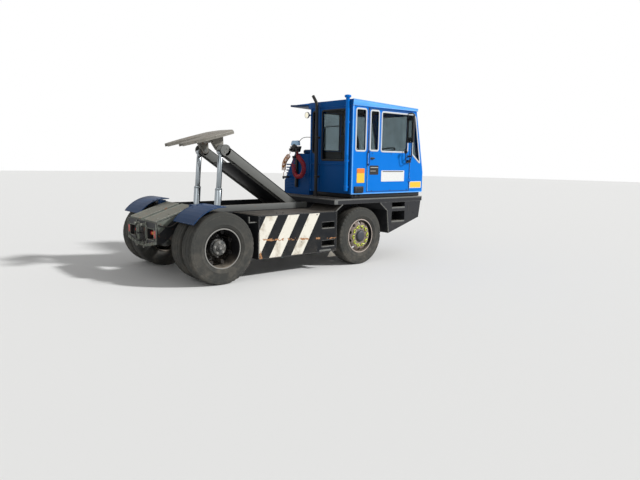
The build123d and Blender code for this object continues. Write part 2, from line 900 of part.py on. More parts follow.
door_axis = (door_front + 3, cab_right - 14)
door_hinges = (door_low + 218, door_top - 302)


def door_hinge(z):
    # The pin and its two lugs, which the fixed side carries.
    far = hinge_half + 12
    hinge = rod_between((*door_axis, z - far), (*door_axis, z + far), hinge_pin_radius)
    x, y = door_axis
    lug = [(x + 4, cab_right + 1), (x + 37, cab_right + 1), (x + 37, y + 10), (x + 6, y - 6), (x - 5, y - 6),
           (x - 5, y + 6), (x + 4, y + 6)]
    for low in (z - far, z + hinge_half + 2):
        hinge += upward(lug, low, low + 10)
    return hinge


def door_knuckle(z):
    knuckle = rod_z(*door_axis, hinge_pin_radius + 4, z - hinge_half, z + hinge_half, 12)
    x, y = door_axis
    leaf = [(x - 48, cab_right + 1), (x - 9, cab_right + 1), (x - 5, y + 6), (x - 5, y - 6), (x - 15, y + 1),
            (x - 48, y + 8)]
    knuckle += upward(leaf, z - hinge_half, z + hinge_half)
    return knuckle


def door_bore(z):
    return rod_between((*door_axis, z - hinge_half - 1), (*door_axis, z + hinge_half + 1),
                       hinge_pin_radius + running_gap)


right_side = cab_right_side()
door = cab_door()
for hinge_z in door_hinges:
    right_side += door_hinge(hinge_z)
    door += door_knuckle(hinge_z)
    door -= door_bore(hinge_z)
save("cab_right_side", right_side)
save("cab_left_side", cab_left_side())
save("cab_rear_wall", cab_rear_wall())
save("cab_front_wall", cab_front_wall())
save("cab_floor", cab_floor())
save("cab_roof", cab_roof())
save("cab_glass", *fixed_glass())
save("cab_door", door)
save("door_glass", pane(*small_window, cab_right), pane(*door_window, cab_right))


def cab_mounts():
    mounts = []
    for x in (cab_rear + 180, cab_front - 180):
        for y in (cab_right + 130, cab_left - 130):
            mounts.append(rod_z(x, y, 45, deck_top, cab_low, 12))
    return mounts


save("cab_mounts", *cab_mounts())

# Inside the cab

seat_x = cab_rear + 800
seat_y = (cab_right + cab_left) / 2
floor_top = cab_low + cab_wall
cushion_low = floor_top + 380


def seat():
    base = block((seat_x - 190, seat_x + 190), (seat_y - 170, seat_y + 170), (floor_top, cushion_low))
    base += block((seat_x - 330, seat_x - 189), (seat_y - 90, seat_y + 90), (cushion_low - 50, cushion_low))
    cushion_z = (cushion_low + 0.3, cushion_low + 110)
    cushion = block((seat_x - 235, seat_x + 250), (seat_y - 240, seat_y + 240), cushion_z)
    low = cushion_low + 0.3
    high = cushion_low + 650
    back = across([(seat_x - 330, low), (seat_x - 240, low), (seat_x - 330, high), (seat_x - 400, high)],
                  seat_y - 230, seat_y + 230)
    return [base, cushion, back]


column_top = (cab_front - 500, seat_y, belt_z + 390)


def steering_column():
    foot = (cab_front - 270, seat_y, floor_top + 30)
    column = rod_between(foot, column_top, 28, 8)
    line = Vector(*column_top) - Vector(*foot)
    plane = Plane(Vector(*column_top), z_dir=line)
    rim = extrude(plane * (section(228, 20) - section(202, 20)), 13, both=True)
    hub = extrude(plane * section(45, 12), 20, both=True)
    wheel = rim + hub
    for angle in (90, 210, 330):
        turn = math.radians(angle)
        tip = plane.from_local_coords((213 * math.cos(turn), 213 * math.sin(turn), 0))
        wheel += rod_between(column_top, tuple(tip), 9, 6)
    base = block((cab_front - 340, cab_front - 200), (seat_y - 70, seat_y + 70), (floor_top, floor_top + 60))
    return column + wheel + base


def dashboard():
    top = belt_z + 70
    outline = [(cab_front - 220, belt_z - 60), (cab_front - cab_wall, belt_z - 60),
               (cab_front - cab_wall, belt_z), (screen_x(top) - cab_wall, top), (cab_front - 180, top)]
    return across(outline, cab_inner_right, cab_inner_left)


save("seat", *seat())
save("driver_controls", steering_column(), dashboard())


# Engine and its cover

def cover_outline(inset=0):
    low = deck_top
    return [(cover_right + inset, low), (cover_right + inset, cover_top - inset),
            (cover_shoulder - 0.6 * inset, cover_top - inset),
            (cover_low_left - inset, cover_shoulder_low - 0.3 * inset), (cover_low_left - inset, low)]


def slope_point(share, depth):
    # A place in Y and Z on the sloping side, by its share of the way up and its depth under the skin.
    run_y = cover_shoulder - cover_low_left
    run_z = cover_top - cover_shoulder_low
    length = math.hypot(run_y, run_z)
    normal = (-run_z / length, run_y / length)
    y = cover_low_left + share * run_y + depth * normal[0]
    z = cover_shoulder_low + share * run_z + depth * normal[1]
    return (y, z)


def engine_cover():
    shell = along(cover_outline(), *cover_x)
    inside = along(cover_outline(cover_wall), cover_x[0] + cover_wall, cover_x[1] - cover_wall)
    inside += along([(cover_right + cover_wall, deck_top - 1), (cover_right + cover_wall, deck_top + 1),
                     (cover_low_left - cover_wall, deck_top + 1), (cover_low_left - cover_wall, deck_top - 1)],
                    cover_x[0] + cover_wall, cover_x[1] - cover_wall)
    shell -= inside
    hole = along([slope_point(hatch_low, -20), slope_point(hatch_high, -20), slope_point(hatch_high, 60),
                  slope_point(hatch_low, 60)], *hatch_x)
    return shell - hole


hatch_hinges = (hatch_x[0] + 230, hatch_x[1] - 230)
slope_length = math.hypot(cover_shoulder - cover_low_left, cover_top - cover_shoulder_low)


def slope_shape(points, x_low, x_high):
    # An outline of (distance up the slope, depth) points, drawn out along X.
    return along([slope_point(up / slope_length, depth) for up, depth in points], x_low, x_high)


hatch_pin = (572, -14)
hatch_axis = slope_point(hatch_pin[0] / slope_length, hatch_pin[1])


def hatch_hinge(x):
    # The pin and its two lugs, which the cover carries.
    far = hinge_half + 14
    hinge = rod_between((x - far, *hatch_axis), (x + far, *hatch_axis), hinge_pin_radius)
    lug = [(564, -6), (564, -20), (582, -20), (608, 2), (568, 2)]
    for low in (x - far, x + hinge_half + 2):
        hinge += slope_shape(lug, low, low + 12)
    return hinge


def hatch_knuckle(x):
    knuckle = rod_between((x - hinge_half, *hatch_axis), (x + hinge_half, *hatch_axis), hinge_pin_radius + 5, 12)
    leaf = [(520, 0.5), (555, 0.5), (565, -6), (565, -20), (555, -13), (520, -6)]
    knuckle += slope_shape(leaf, x - hinge_half, x + hinge_half)
    return knuckle


def hatch_bore(x):
    return rod_between((x - hinge_half - 1, *hatch_axis), (x + hinge_half + 1, *hatch_axis),
                       hinge_pin_radius + running_gap)


def engine_hatch():
    trim = hatch_gap / slope_length
    hatch = along([slope_point(hatch_low + trim, 0), slope_point(hatch_high - trim, 0),
                   slope_point(hatch_high - trim, 18), slope_point(hatch_low + trim, 18)],
                  hatch_x[0] + hatch_gap, hatch_x[1] - hatch_gap)
    for x in hatch_hinges:
        hatch += hatch_knuckle(x)
        hatch -= hatch_bore(x)
    return hatch


cover = engine_cover()
for hinge_x in hatch_hinges:
    cover += hatch_hinge(hinge_x)
save("engine", block(engine_x, engine_y, (frame_low + cross_height, engine_top)))
save("engine_cover", cover)
save("engine_hatch", engine_hatch())


# Exhaust, intake pipe, lamps and mirrors

exhaust_place = (cab_rear - 75, -335)
exhaust_radius = 34
exhaust_top = 2800


def exhaust():
    x, y = exhaust_place
    stack = rod_z(x, y, exhaust_radius, deck_top, exhaust_top, 16)
    stack += rod_between((x, y, exhaust_top - 15), (x - 10, y + 95, exhaust_top + 150), exhaust_radius - 6, 16)
    for z in (deck_top + 335, exhaust_top - 600):
        stack += block((x, cab_rear), (y - 15, y + 15), (z, z + 40))
    return stack


intake_place = (cab_rear - 60, cab_right + 75)
intake_top = 2917


def intake_pipe():
    x, y = intake_place
    low = cab_low + 50
    pipe = rod_z(x, y, 33, low, intake_top - 40, 12)
    pipe += rod_z(x, y, 56, intake_top - 44, intake_top, 16)
    pipe += block((x, cab_rear), (y - 26, y + 26), (low + 4, low + 56))
    for z in (low + 450, intake_top - 467):
        pipe += block((x, cab_rear), (y - 12, y + 12), (z, z + 30))
    return pipe


work_lamp_place = (cab_rear - 18, cab_left + 50, roof_line - 115)


def work_lamp():
    x, y, z = work_lamp_place
    plane = Plane((x - 45, y, z), x_dir=(0, 1, 0), z_dir=(1, 0, 0))
    lamp = extrude(plane * section(58, 16), 60)
    lamp += block((x - 5, x + 60), (cab_left, y - 20), (z - 12, z + 12))
    return lamp


def mirror_arm(side_y, reach_y, x, z_low, z_high):
    tube = 11
    arm = rod_z(x - 60, reach_y, tube, z_low - 16, z_high + 16, 8)
    for z in (z_low, z_high):
        arm += block((x - 20, x + 20), (side_y - 16, side_y), (z - 20, z + 20))
        arm += rod_between((x, side_y - 8, z), (x - 60, reach_y, z), tube - 2, 8)
    return arm


mirror_x = cab_front - 440
mirror_half = 75
mirror_gap = 55
mirror_reach = mirror_half + mirror_gap - cab_right
mirror_top = 2690
mirror_height = 530
left_mirror_top = 2530
left_mirror_height = 490


def mirror_head(x, y, heights):
    return block((x - 28, x + 28), (y - mirror_half, y + mirror_half), heights)


def right_mirror():
    low = mirror_top - mirror_height
    body = mirror_arm(cab_right, -mirror_reach, mirror_x, low - 240, mirror_top + 10)
    body += mirror_head(mirror_x - 105, -mirror_reach, (low, mirror_top))
    for z in (low + 70, mirror_top - 90):
        body += block((mirror_x - 80, mirror_x - 60), (-mirror_reach - 15, -mirror_reach + 15), (z, z + 30))
    return body


def left_mirror():
    x = cover_x[1] - 150
    y = cover_shoulder - 30
    top = left_mirror_top
    low = top - left_mirror_height
    post = rod_z(x, y, 14, cover_top, top + 30, 8)
    reach = rod_between((x, y, top + 10), (x - 60, mirror_reach, top + 10), 9, 8)
    drop = rod_z(x - 60, mirror_reach, 11, low - 20, top + 26, 8)
    foot = rod_z(x, y, 40, cover_top, cover_top + 12, 12)
    head = mirror_head(x - 105, mirror_reach, (low, top))
    body = post + reach + drop + foot + head
    for z in (low + 80, top - 90):
        body += block((x - 80, x - 60), (mirror_reach - 15, mirror_reach + 15), (z, z + 30))
    return body


save("exhaust", exhaust())
save("intake_pipe", intake_pipe())
save("lamps", work_lamp(), *both_sides([headlamp(headlamp_radius, 50)]))
save("mirror_right", right_mirror())
save("mirror_left", left_mirror())


# Air hose stand and its two coiled hoses

stand_x = cover_x[0] - 50
stand_y = 330


def hose_stand():
    post = block((stand_x, cover_x[0]), (stand_y - 30, stand_y + 30), (1300, 2060))
    head = along([(stand_y - 110, 1960), (stand_y + 110, 1960), (stand_y + 160, 2070), (stand_y - 160, 2070)],
                 stand_x - 30, stand_x + 30)
    return post + head


def hose_lamp():
    return block((stand_x - 40, stand_x + 45), (stand_y - 135, stand_y + 135), (2070, 2180))


coil_radius = 38
hose_x = stand_x - 75
red_route = [(hose_x, 200, 1990), (hose_x, 200, 1900), (hose_x - 20, -70, 1730), (hose_x - 20, -10, 1520),
             (hose_x - 10, 200, 1490), (hose_x, 300, 1640), (hose_x, 300, 1850)]
yellow_route = [(hose_x, 400, 1990), (hose_x, 400, 1930), (hose_x - 15, 570, 1780), (hose_x, 610, 1640),
                (hose_x, 610, 1500)]


def hose_tube(route):
    points = [Vector(*place) for place in route]
    radii = []
    for before, corner, after in zip(points, points[1:], points[2:]):
        turn = (corner - before).get_angle(after - corner)
        run = min((corner - before).length, (after - corner).length)
        radii.append(0.45 * run / math.tan(math.radians(turn) / 2))
    print("hose radii", [round(radius) for radius in radii])
    path = FilletPolyline(*points, radius=radii)
    start = Plane(points[0], z_dir=points[1] - points[0])
    return sweep(start * section(coil_radius, 6), path=path)


def hose_couplings():
    # Each hose end, how far its coupling's middle lies above it, and what the coupling is held by.
    places = [(red_route[0], 20.3, stand_x - 30), (red_route[-1], 20.3, stand_x),
              (yellow_route[0], 20.3, stand_x - 30), (yellow_route[-1], -20.3, cover_x[0])]
    couplings = []
    for (x, y, z), rise, x_back in places:
        low = z + rise - 20
        couplings.append(block((x - 20, x_back), (y - 22, y + 22), (low, low + 40)))
    return couplings


save("hose_stand", hose_stand() + hose_lamp(), *hose_couplings())
save("air_hose_red", hose_tube(red_route))
save("air_hose_yellow", hose_tube(yellow_route))


# Front axle, springs, knuckles and tie rod

axle_z = front_tyre_radius
beam_low = axle_z - 90
spring_seat_z = beam_low + 2 * beam_half_height


def front_axle():
    reach = kingpin_track - 60
    top = beam_low + 2 * beam_half_height
    beam = block((wheelbase - beam_half_width, wheelbase + beam_half_width), (-reach, reach), (beam_low, top))
    for side in (-1, 1):
        low, high = sorted((wheelbase + side * 14, wheelbase + side * 60))
        beam -= block((low, high), (-reach - 1, reach + 1), (beam_low + 20, top - 20))
    for side in (-1, 1):
        boss = axle_boss_half
        y = side * kingpin_track
        beam += rod_z(wheelbase, y, axle_boss_radius, axle_z - boss, axle_z + boss, 12)
        beam += rod_z(wheelbase, y, kingpin_radius, axle_z - boss - 38, axle_z + boss + 38)
        low, high = sorted((side * (kingpin_track - 100), side * (kingpin_track - 30)))
        beam += block((wheelbase - 40, wheelbase + 40), (low, high), (top - 50, axle_z + 50))
    return beam


def knuckle():
    top = axle_boss_half + 5
    ear = 38
    y = kingpin_track
    yoke = None
    for z_low in (axle_z + top, axle_z - top - ear):
        piece = rod_z(wheelbase, y, 44, z_low, z_low + ear, 12)
        piece += block((wheelbase - 44, wheelbase + 44), (y, y + 78), (z_low, z_low + ear))
        piece -= rod_z(wheelbase, y, kingpin_radius + shaft_gap, z_low - 1, z_low + ear + 1)
        yoke = piece if yoke is None else yoke + piece
    yoke += block((wheelbase - 60, wheelbase + 60), (y + 54, y + 80), (axle_z - top - ear, axle_z + top + ear))
    yoke += rod_y(wheelbase, axle_z, spindle_radius, y + 60, 1140)
    arm_z = axle_z - top - ear
    yoke += block((wheelbase - steer_arm_reach, wheelbase + 40), (y - 30, y + 30), (arm_z - steer_arm_thick, arm_z))
    yoke += rod_z(wheelbase - steer_arm_reach, y, 30, arm_z - steer_arm_thick, arm_z, 12)
    return yoke


knuckle_left = knuckle()
save("front_axle", front_axle())
save("knuckle_left", knuckle_left)
save("knuckle_right", left_of(knuckle_left))


def tie_rod():
    arm_under = axle_z - axle_boss_half - 5 - 38 - steer_arm_thick
    x = wheelbase - steer_arm_reach
    z = arm_under - shaft_gap - 16
    bar = rod_y(x, z, 14, -kingpin_track, kingpin_track, 8)
    for side in (-1, 1):
        bar += rod_z(x, side * kingpin_track, 26, z - 16, z + 16, 12)
    return bar


save("tie_rod", tie_rod())


def front_spring():
    seat_z = spring_seat_z
    eye_z = seat_z + 120
    half = spring_half_length
    leaves = None
    for index, share in enumerate((0.45, 0.62, 0.8, 1.0)):
        low = seat_z + index * leaf_thickness
        rise = (eye_z - seat_z - 3 * leaf_thickness) * share ** 2
        reach = half * share
        outline = [(wheelbase - reach, low + rise), (wheelbase - reach / 2, low + rise / 4), (wheelbase, low),
                   (wheelbase + reach / 2, low + rise / 4), (wheelbase + reach, low + rise),
                   (wheelbase + reach, low + rise + leaf_thickness),
                   (wheelbase + reach / 2, low + rise / 4 + leaf_thickness),
                   (wheelbase, low + leaf_thickness),
                   (wheelbase - reach / 2, low + rise / 4 + leaf_thickness),
                   (wheelbase - reach, low + rise + leaf_thickness)]
        leaf = across(outline, spring_track - spring_width / 2, spring_track + spring_width / 2)
        leaves = leaf if leaves is None else leaves + leaf
    for side in (-1, 1):
        x = wheelbase + side * half
        leaves += rod_y(x, eye_z + 7, 24, spring_track - spring_width / 2, spring_track + spring_width / 2, 10)
    clamp = block((wheelbase - 60, wheelbase + 60), (spring_track - 45, spring_track + 45),
                  (seat_z, seat_z + 4 * leaf_thickness + 18))
    return leaves + clamp


def spring_hangers():
    eye_z = spring_seat_z + 127
    hangers = []
    for side in (-1, 1):
        x = wheelbase + side * spring_half_length
        for y_low in (spring_track - spring_width / 2 - 10.3, spring_track + spring_width / 2 + 0.3):
            hangers.append(block((x - 35, x + 35), (y_low, y_low + 10), (eye_z - 30, frame_low)))
    return hangers


save("front_springs", *both_sides([front_spring()]))
save("frame_brackets", *both_sides(spring_hangers() + box_brackets()))

print("arm length", round(arm_length, 1), "slope", round(arm_slope, 2))
print("head pin", [round(value, 1) for value in head_pin], "cylinder", round(cylinder_length, 1),
      "lean", round(cylinder_lean, 2))
print("origin x", origin_x)
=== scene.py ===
"""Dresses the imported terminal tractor: wheels, cab trim, cylinders, hoses, paint, wear and the stage."""

import math
import random

import bmesh
import bpy
from mathutils import Matrix, Vector


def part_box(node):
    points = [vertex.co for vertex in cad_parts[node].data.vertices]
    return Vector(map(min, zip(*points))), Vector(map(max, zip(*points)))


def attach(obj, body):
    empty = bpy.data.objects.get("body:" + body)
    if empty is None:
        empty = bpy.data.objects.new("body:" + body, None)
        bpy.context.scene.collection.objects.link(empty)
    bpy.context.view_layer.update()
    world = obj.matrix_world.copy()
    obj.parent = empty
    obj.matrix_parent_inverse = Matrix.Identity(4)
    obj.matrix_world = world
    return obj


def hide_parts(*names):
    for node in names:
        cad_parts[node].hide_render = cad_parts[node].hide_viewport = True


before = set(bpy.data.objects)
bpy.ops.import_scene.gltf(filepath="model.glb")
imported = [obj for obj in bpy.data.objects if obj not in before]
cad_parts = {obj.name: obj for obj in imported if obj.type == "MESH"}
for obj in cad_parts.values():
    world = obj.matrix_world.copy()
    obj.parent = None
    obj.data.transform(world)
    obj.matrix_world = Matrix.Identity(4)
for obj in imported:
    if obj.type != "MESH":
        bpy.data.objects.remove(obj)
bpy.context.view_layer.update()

bl_info = {
    "name": "Terminal Tractor Dressing",
    "version": (1, 0, 0),
    "blender": (4, 5, 0),
    "location": "3D View > Sidebar > Tractor",
    "description": "Builds the wheels, trim, hoses, paint and stage around a packed terminal tractor",
    "category": "Object",
}

SIDES = (("left", 1), ("right", -1))
ACROSS = Vector((0, 1, 0))


class Span:
    """The box of a CAD node, in metres."""

    def __init__(self, node):
        self.low, self.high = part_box(node)
        self.middle = (self.low + self.high) / 2
        self.size = self.high - self.low


CAB_WALL = Span("cab_right_side")
DOOR = Span("cab_door")
DOOR_GLASS = Span("door_glass")
BOXES = Span("side_boxes")
REAR_TYRES = Span("rear_tyres_left")
FRONT_TYRE = Span("front_tyre_left")
FRONT_RIM = Span("front_rim_left")
STAND = Span("hose_stand")
COVER = Span("engine_cover")
ROOF = Span("cab_roof")
RAILS = Span("frame_rails")
BUMPER = Span("bumper_sides")
AXLE_X = REAR_TYRES.middle.x


def at(x, y, z):
    """A place measured forward of the rear axle."""
    return Vector((AXLE_X + x, y, z))


# Sizes and colours a user would change


class WheelSizes(bpy.types.PropertyGroup):
    tread_depth: bpy.props.FloatProperty(
        name="Tread depth", description="Depth of the grooves round each tyre", default=0.009, unit="LENGTH")
    groove_width: bpy.props.FloatProperty(
        name="Groove width", description="Width of the grooves round each tyre", default=0.011, unit="LENGTH")
    shoulder_blocks: bpy.props.IntProperty(
        name="Shoulder blocks", description="Blocks on one shoulder of a tyre", default=44)
    turn_steps: bpy.props.IntProperty(
        name="Turn steps", description="Steps of one full turn of a tyre", default=176)
    nuts: bpy.props.IntProperty(name="Wheel nuts", description="Nuts that hold one wheel", default=10)


class PaintColours(bpy.types.PropertyGroup):
    cab_blue: bpy.props.FloatVectorProperty(
        name="Cab blue", description="Paint of the cab", size=3, subtype="COLOR", default=(0.0, 0.172, 0.65))
    frame_black: bpy.props.FloatVectorProperty(
        name="Frame black", description="Paint of the frame", size=3, subtype="COLOR",
        default=(0.011, 0.0125, 0.015))
    stripe_white: bpy.props.FloatVectorProperty(
        name="Stripe white", description="Slanting stripes on the side boxes", size=3, subtype="COLOR",
        default=(0.78, 0.75, 0.66))
    rust: bpy.props.FloatVectorProperty(
        name="Rust", description="Rust on paint and steel", size=3, subtype="COLOR", default=(0.2, 0.075, 0.025))
    dust: bpy.props.FloatVectorProperty(
        name="Dust", description="Dust on faces that look up", size=3, subtype="COLOR",
        default=(0.29, 0.25, 0.2))


class HoseSizes(bpy.types.PropertyGroup):
    tube: bpy.props.FloatProperty(
        name="Hose", description="Outside diameter of an air hose", default=0.0105, unit="LENGTH")
    coil: bpy.props.FloatProperty(
        name="Coil", description="Radius of the coils at the middle of the hose", default=0.0385,
        unit="LENGTH")
    pitch: bpy.props.FloatProperty(
        name="Pitch", description="Distance from one turn to the next", default=0.0175, unit="LENGTH")


# Shader building


def add(tree, kind, settings=None, *values, **named):
    """Adds a shader node, sets it up, and links or fills its inputs."""
    made = tree.nodes.new("ShaderNode" + kind)
    for key, value in (settings or {}).items():
        setattr(made, key, value)
    for key, value in list(enumerate(values)) + [(name.replace("_", " "), v) for name, v in named.items()]:
        if isinstance(value, bpy.types.NodeSocket):
            tree.links.new(value, made.inputs[key])
        elif value is not None:
            made.inputs[key].default_value = value
    return made


def sums(tree, operation, *values):
    return add(tree, "Math", {"operation": operation}, *values).outputs[0]


def clamped(tree, operation, *values):
    return add(tree, "Math", {"operation": operation, "use_clamp": True}, *values).outputs[0]


def stepped(tree, value, low, high):
    """0 below low, 1 above high, smooth between."""
    kind = {"interpolation_type": "SMOOTHSTEP"}
    return add(tree, "MapRange", kind, value, low, high, 0.0, 1.0).outputs[0]


def blended(tree, share, first, second):
    made = add(tree, "Mix", {"data_type": "RGBA"})
    for index, value in ((0, share), (6, first), (7, second)):
        if isinstance(value, bpy.types.NodeSocket):
            tree.links.new(value, made.inputs[index])
        elif index:
            made.inputs[index].default_value = (*value[:3], 1)
        else:
            made.inputs[index].default_value = value
    return made.outputs[2]


def noise(tree, place, scale, detail=4.0, roughness=0.55):
    return add(tree, "TexNoise", None, Vector=place, Scale=scale, Detail=detail,
               Roughness=roughness).outputs[0]


def group_of(name, inputs, outputs):
    """A shader node group with its named sockets, and its input and output nodes."""
    tree = bpy.data.node_groups.new(name, "ShaderNodeTree")
    for label, kind, value in inputs:
        socket = tree.interface.new_socket(label, in_out="INPUT", socket_type="NodeSocket" + kind)
        if value is not None:
            socket.default_value = value
    for label, kind in outputs:
        tree.interface.new_socket(label, in_out="OUTPUT", socket_type="NodeSocket" + kind)
    return tree, tree.nodes.new("NodeGroupInput").outputs, tree.nodes.new("NodeGroupOutput").inputs


def edge_wear_group():
    """Where paint is rubbed through on edges and corners."""
    tree, given, out = group_of("Edge wear", (("Amount", "Float", 0.5), ("Width", "Float", 0.008),
                                              ("Scale", "Float", 30.0)), (("Mask", "Float"),))
    place = add(tree, "TexCoord").outputs["Object"]
    soft = add(tree, "Bevel", {"samples": 4}, given["Width"]).outputs[0]
    flat = add(tree, "NewGeometry").outputs["Normal"]
    facing = add(tree, "VectorMath", {"operation": "DOT_PRODUCT"}, soft, flat).outputs["Value"]
    edge = stepped(tree, sums(tree, "SUBTRACT", 1.0, facing), 0.004, 0.12)
    chips = stepped(tree, noise(tree, place, given["Scale"], 6.0, 0.7), 0.42, 0.62)
    tree.links.new(clamped(tree, "MULTIPLY", sums(tree, "MULTIPLY", edge, chips),
                           sums(tree, "MULTIPLY", given["Amount"], 2.0)), out["Mask"])
    return tree


def dust_group():
    """Dust that lies on what looks up, and dirt thrown up on what is low."""
    tree, given, out = group_of("Dust", (("Amount", "Float", 0.5), ("Low dirt", "Float", 0.5),
                                         ("Height", "Float", 1.1)), (("Mask", "Float"),))
    place = add(tree, "TexCoord").outputs["Object"]
    upward = add(tree, "SeparateXYZ", None, add(tree, "NewGeometry").outputs["Normal"]).outputs[2]
    height = add(tree, "SeparateXYZ", None, place).outputs[2]
    lying = sums(tree, "MULTIPLY", stepped(tree, upward, 0.35, 0.95), given["Amount"])
    low = sums(tree, "SUBTRACT", 1.0, stepped(tree, height, 0.15, given["Height"]))
    thrown = sums(tree, "MULTIPLY", sums(tree, "MULTIPLY", low, given["Low dirt"]),
                  stepped(tree, noise(tree, place, 7.0, 5.0, 0.65), 0.35, 0.7))
    patches = add(tree, "MapRange", None, noise(tree, place, 11.0, 5.0, 0.6), 0.3, 0.7, 0.45, 1.1).outputs[0]
    both = sums(tree, "MULTIPLY", sums(tree, "ADD", lying, thrown), patches)
    tree.links.new(clamped(tree, "MINIMUM", both, 0.92), out["Mask"])
    return tree


def rust_group():
    """Patches of rust with a speckled rim."""
    tree, given, out = group_of("Rust", (("Amount", "Float", 0.3), ("Scale", "Float", 5.0)),
                                (("Mask", "Float"), ("Tint", "Float")))
    place = add(tree, "TexCoord").outputs["Object"]
    broad = noise(tree, place, given["Scale"], 3.0, 0.5)
    fine = noise(tree, place, sums(tree, "MULTIPLY", given["Scale"], 9.0), 5.0, 0.7)
    mixed = sums(tree, "ADD", sums(tree, "MULTIPLY", broad, 0.62), sums(tree, "MULTIPLY", fine, 0.38))
    edge = sums(tree, "SUBTRACT", 0.78, sums(tree, "MULTIPLY", given["Amount"], 0.42))
    tree.links.new(stepped(tree, mixed, edge, sums(tree, "ADD", edge, 0.05)), out["Mask"])
    tree.links.new(fine, out["Tint"])
    return tree


def grain_group():
    """Fine unevenness of paint, rubber or cast steel."""
    tree, given, out = group_of("Grain", (("Scale", "Float", 200.0), ("Waves", "Float", 6.0)),
                                (("Height", "Float"),))
    place = add(tree, "TexCoord").outputs["Object"]
    fine = noise(tree, place, given["Scale"], 3.0, 0.6)
    slow = noise(tree, place, given["Waves"], 2.0, 0.5)
    total = sums(tree, "ADD", sums(tree, "MULTIPLY", fine, 0.3), sums(tree, "MULTIPLY", slow, 1.0))
    tree.links.new(total, out["Height"])
    return tree


GROUPS = {}


def shared(tree, name, **values):
    """Places one of the shared node groups in a material."""
    made = tree.nodes.new("ShaderNodeGroup")
    made.node_tree = GROUPS[name]
    for key, value in values.items():
        made.inputs[key.replace("_", " ")].default_value = value
    return made.outputs


def colour(name):
    return tuple(getattr(bpy.context.scene.tractor_paint, name))


def shaded(base, factor):
    return tuple(channel * factor for channel in base)


def material(name):
    made = bpy.data.materials.new(name)
    made.use_nodes = True
    tree = made.node_tree
    return made, tree, tree.nodes["Principled BSDF"]


FINISHES = {}


def weathered(name, base, rough=0.45, metal=0.0, wear=0.4, worn=(0.2, 0.19, 0.17), rust=0.2, dust=0.4,
              low=0.4, height=1.1, grain=0.0006, grain_scale=160.0, coat=0.0, varied=0.18, paint=None,
              wear_width=0.007, rust_scale=5.0, shine=0.3):
    """Paint, rubber or steel with its wear, rust and dust; paint may give the clean colour its own pattern."""
    made, tree, shader = material(name)
    shader.inputs["Specular IOR Level"].default_value = shine
    place = add(tree, "TexCoord").outputs["Object"]
    clean = paint(tree, place) if paint else base
    cloud = noise(tree, place, 3.5, 4.0, 0.6)
    dark = shaded(base, 1 - varied)
    if paint:
        tint = blended(tree, sums(tree, "MULTIPLY", cloud, varied), clean, shaded(base, 0.5))
    else:
        tint = blended(tree, cloud, dark, shaded(base, 1 + varied))
    worn_mask = shared(tree, "Edge wear", Amount=wear, Width=wear_width)["Mask"]
    rusty = shared(tree, "Rust", Amount=rust, Scale=rust_scale)
    dusty = shared(tree, "Dust", Amount=dust, Low_dirt=low, Height=height)["Mask"]
    rust_tint = blended(tree, rusty["Tint"], shaded(colour("rust"), 0.45), shaded(colour("rust"), 1.9))
    surface = blended(tree, worn_mask, tint, worn)
    surface = blended(tree, rusty["Mask"], surface, rust_tint)
    surface = blended(tree, dusty, surface, colour("dust"))
    tree.links.new(surface, shader.inputs["Base Color"])
    dull = sums(tree, "MAXIMUM", rusty["Mask"], dusty)
    spread = add(tree, "MapRange", None, dull, 0.0, 1.0, rough, 0.85).outputs[0]
    uneven = sums(tree, "MULTIPLY", sums(tree, "SUBTRACT", cloud, 0.5), 0.25)
    tree.links.new(clamped(tree, "ADD", spread, uneven), shader.inputs["Roughness"])
    bare = sums(tree, "SUBTRACT", 1.0, dull)
    if metal:
        tree.links.new(sums(tree, "MULTIPLY", bare, metal), shader.inputs["Metallic"])
    if coat:
        tree.links.new(sums(tree, "MULTIPLY", bare, coat), shader.inputs["Coat Weight"])
        shader.inputs["Coat Roughness"].default_value = 0.12
    fine = shared(tree, "Grain", Scale=grain_scale)["Height"]
    raised = sums(tree, "ADD", fine, sums(tree, "MULTIPLY", rusty["Mask"], 0.5))
    bump = add(tree, "Bump", None, Height=raised, Distance=grain, Strength=0.8)
    tree.links.new(bump.outputs[0], shader.inputs["Normal"])
    FINISHES[name] = made
    return made


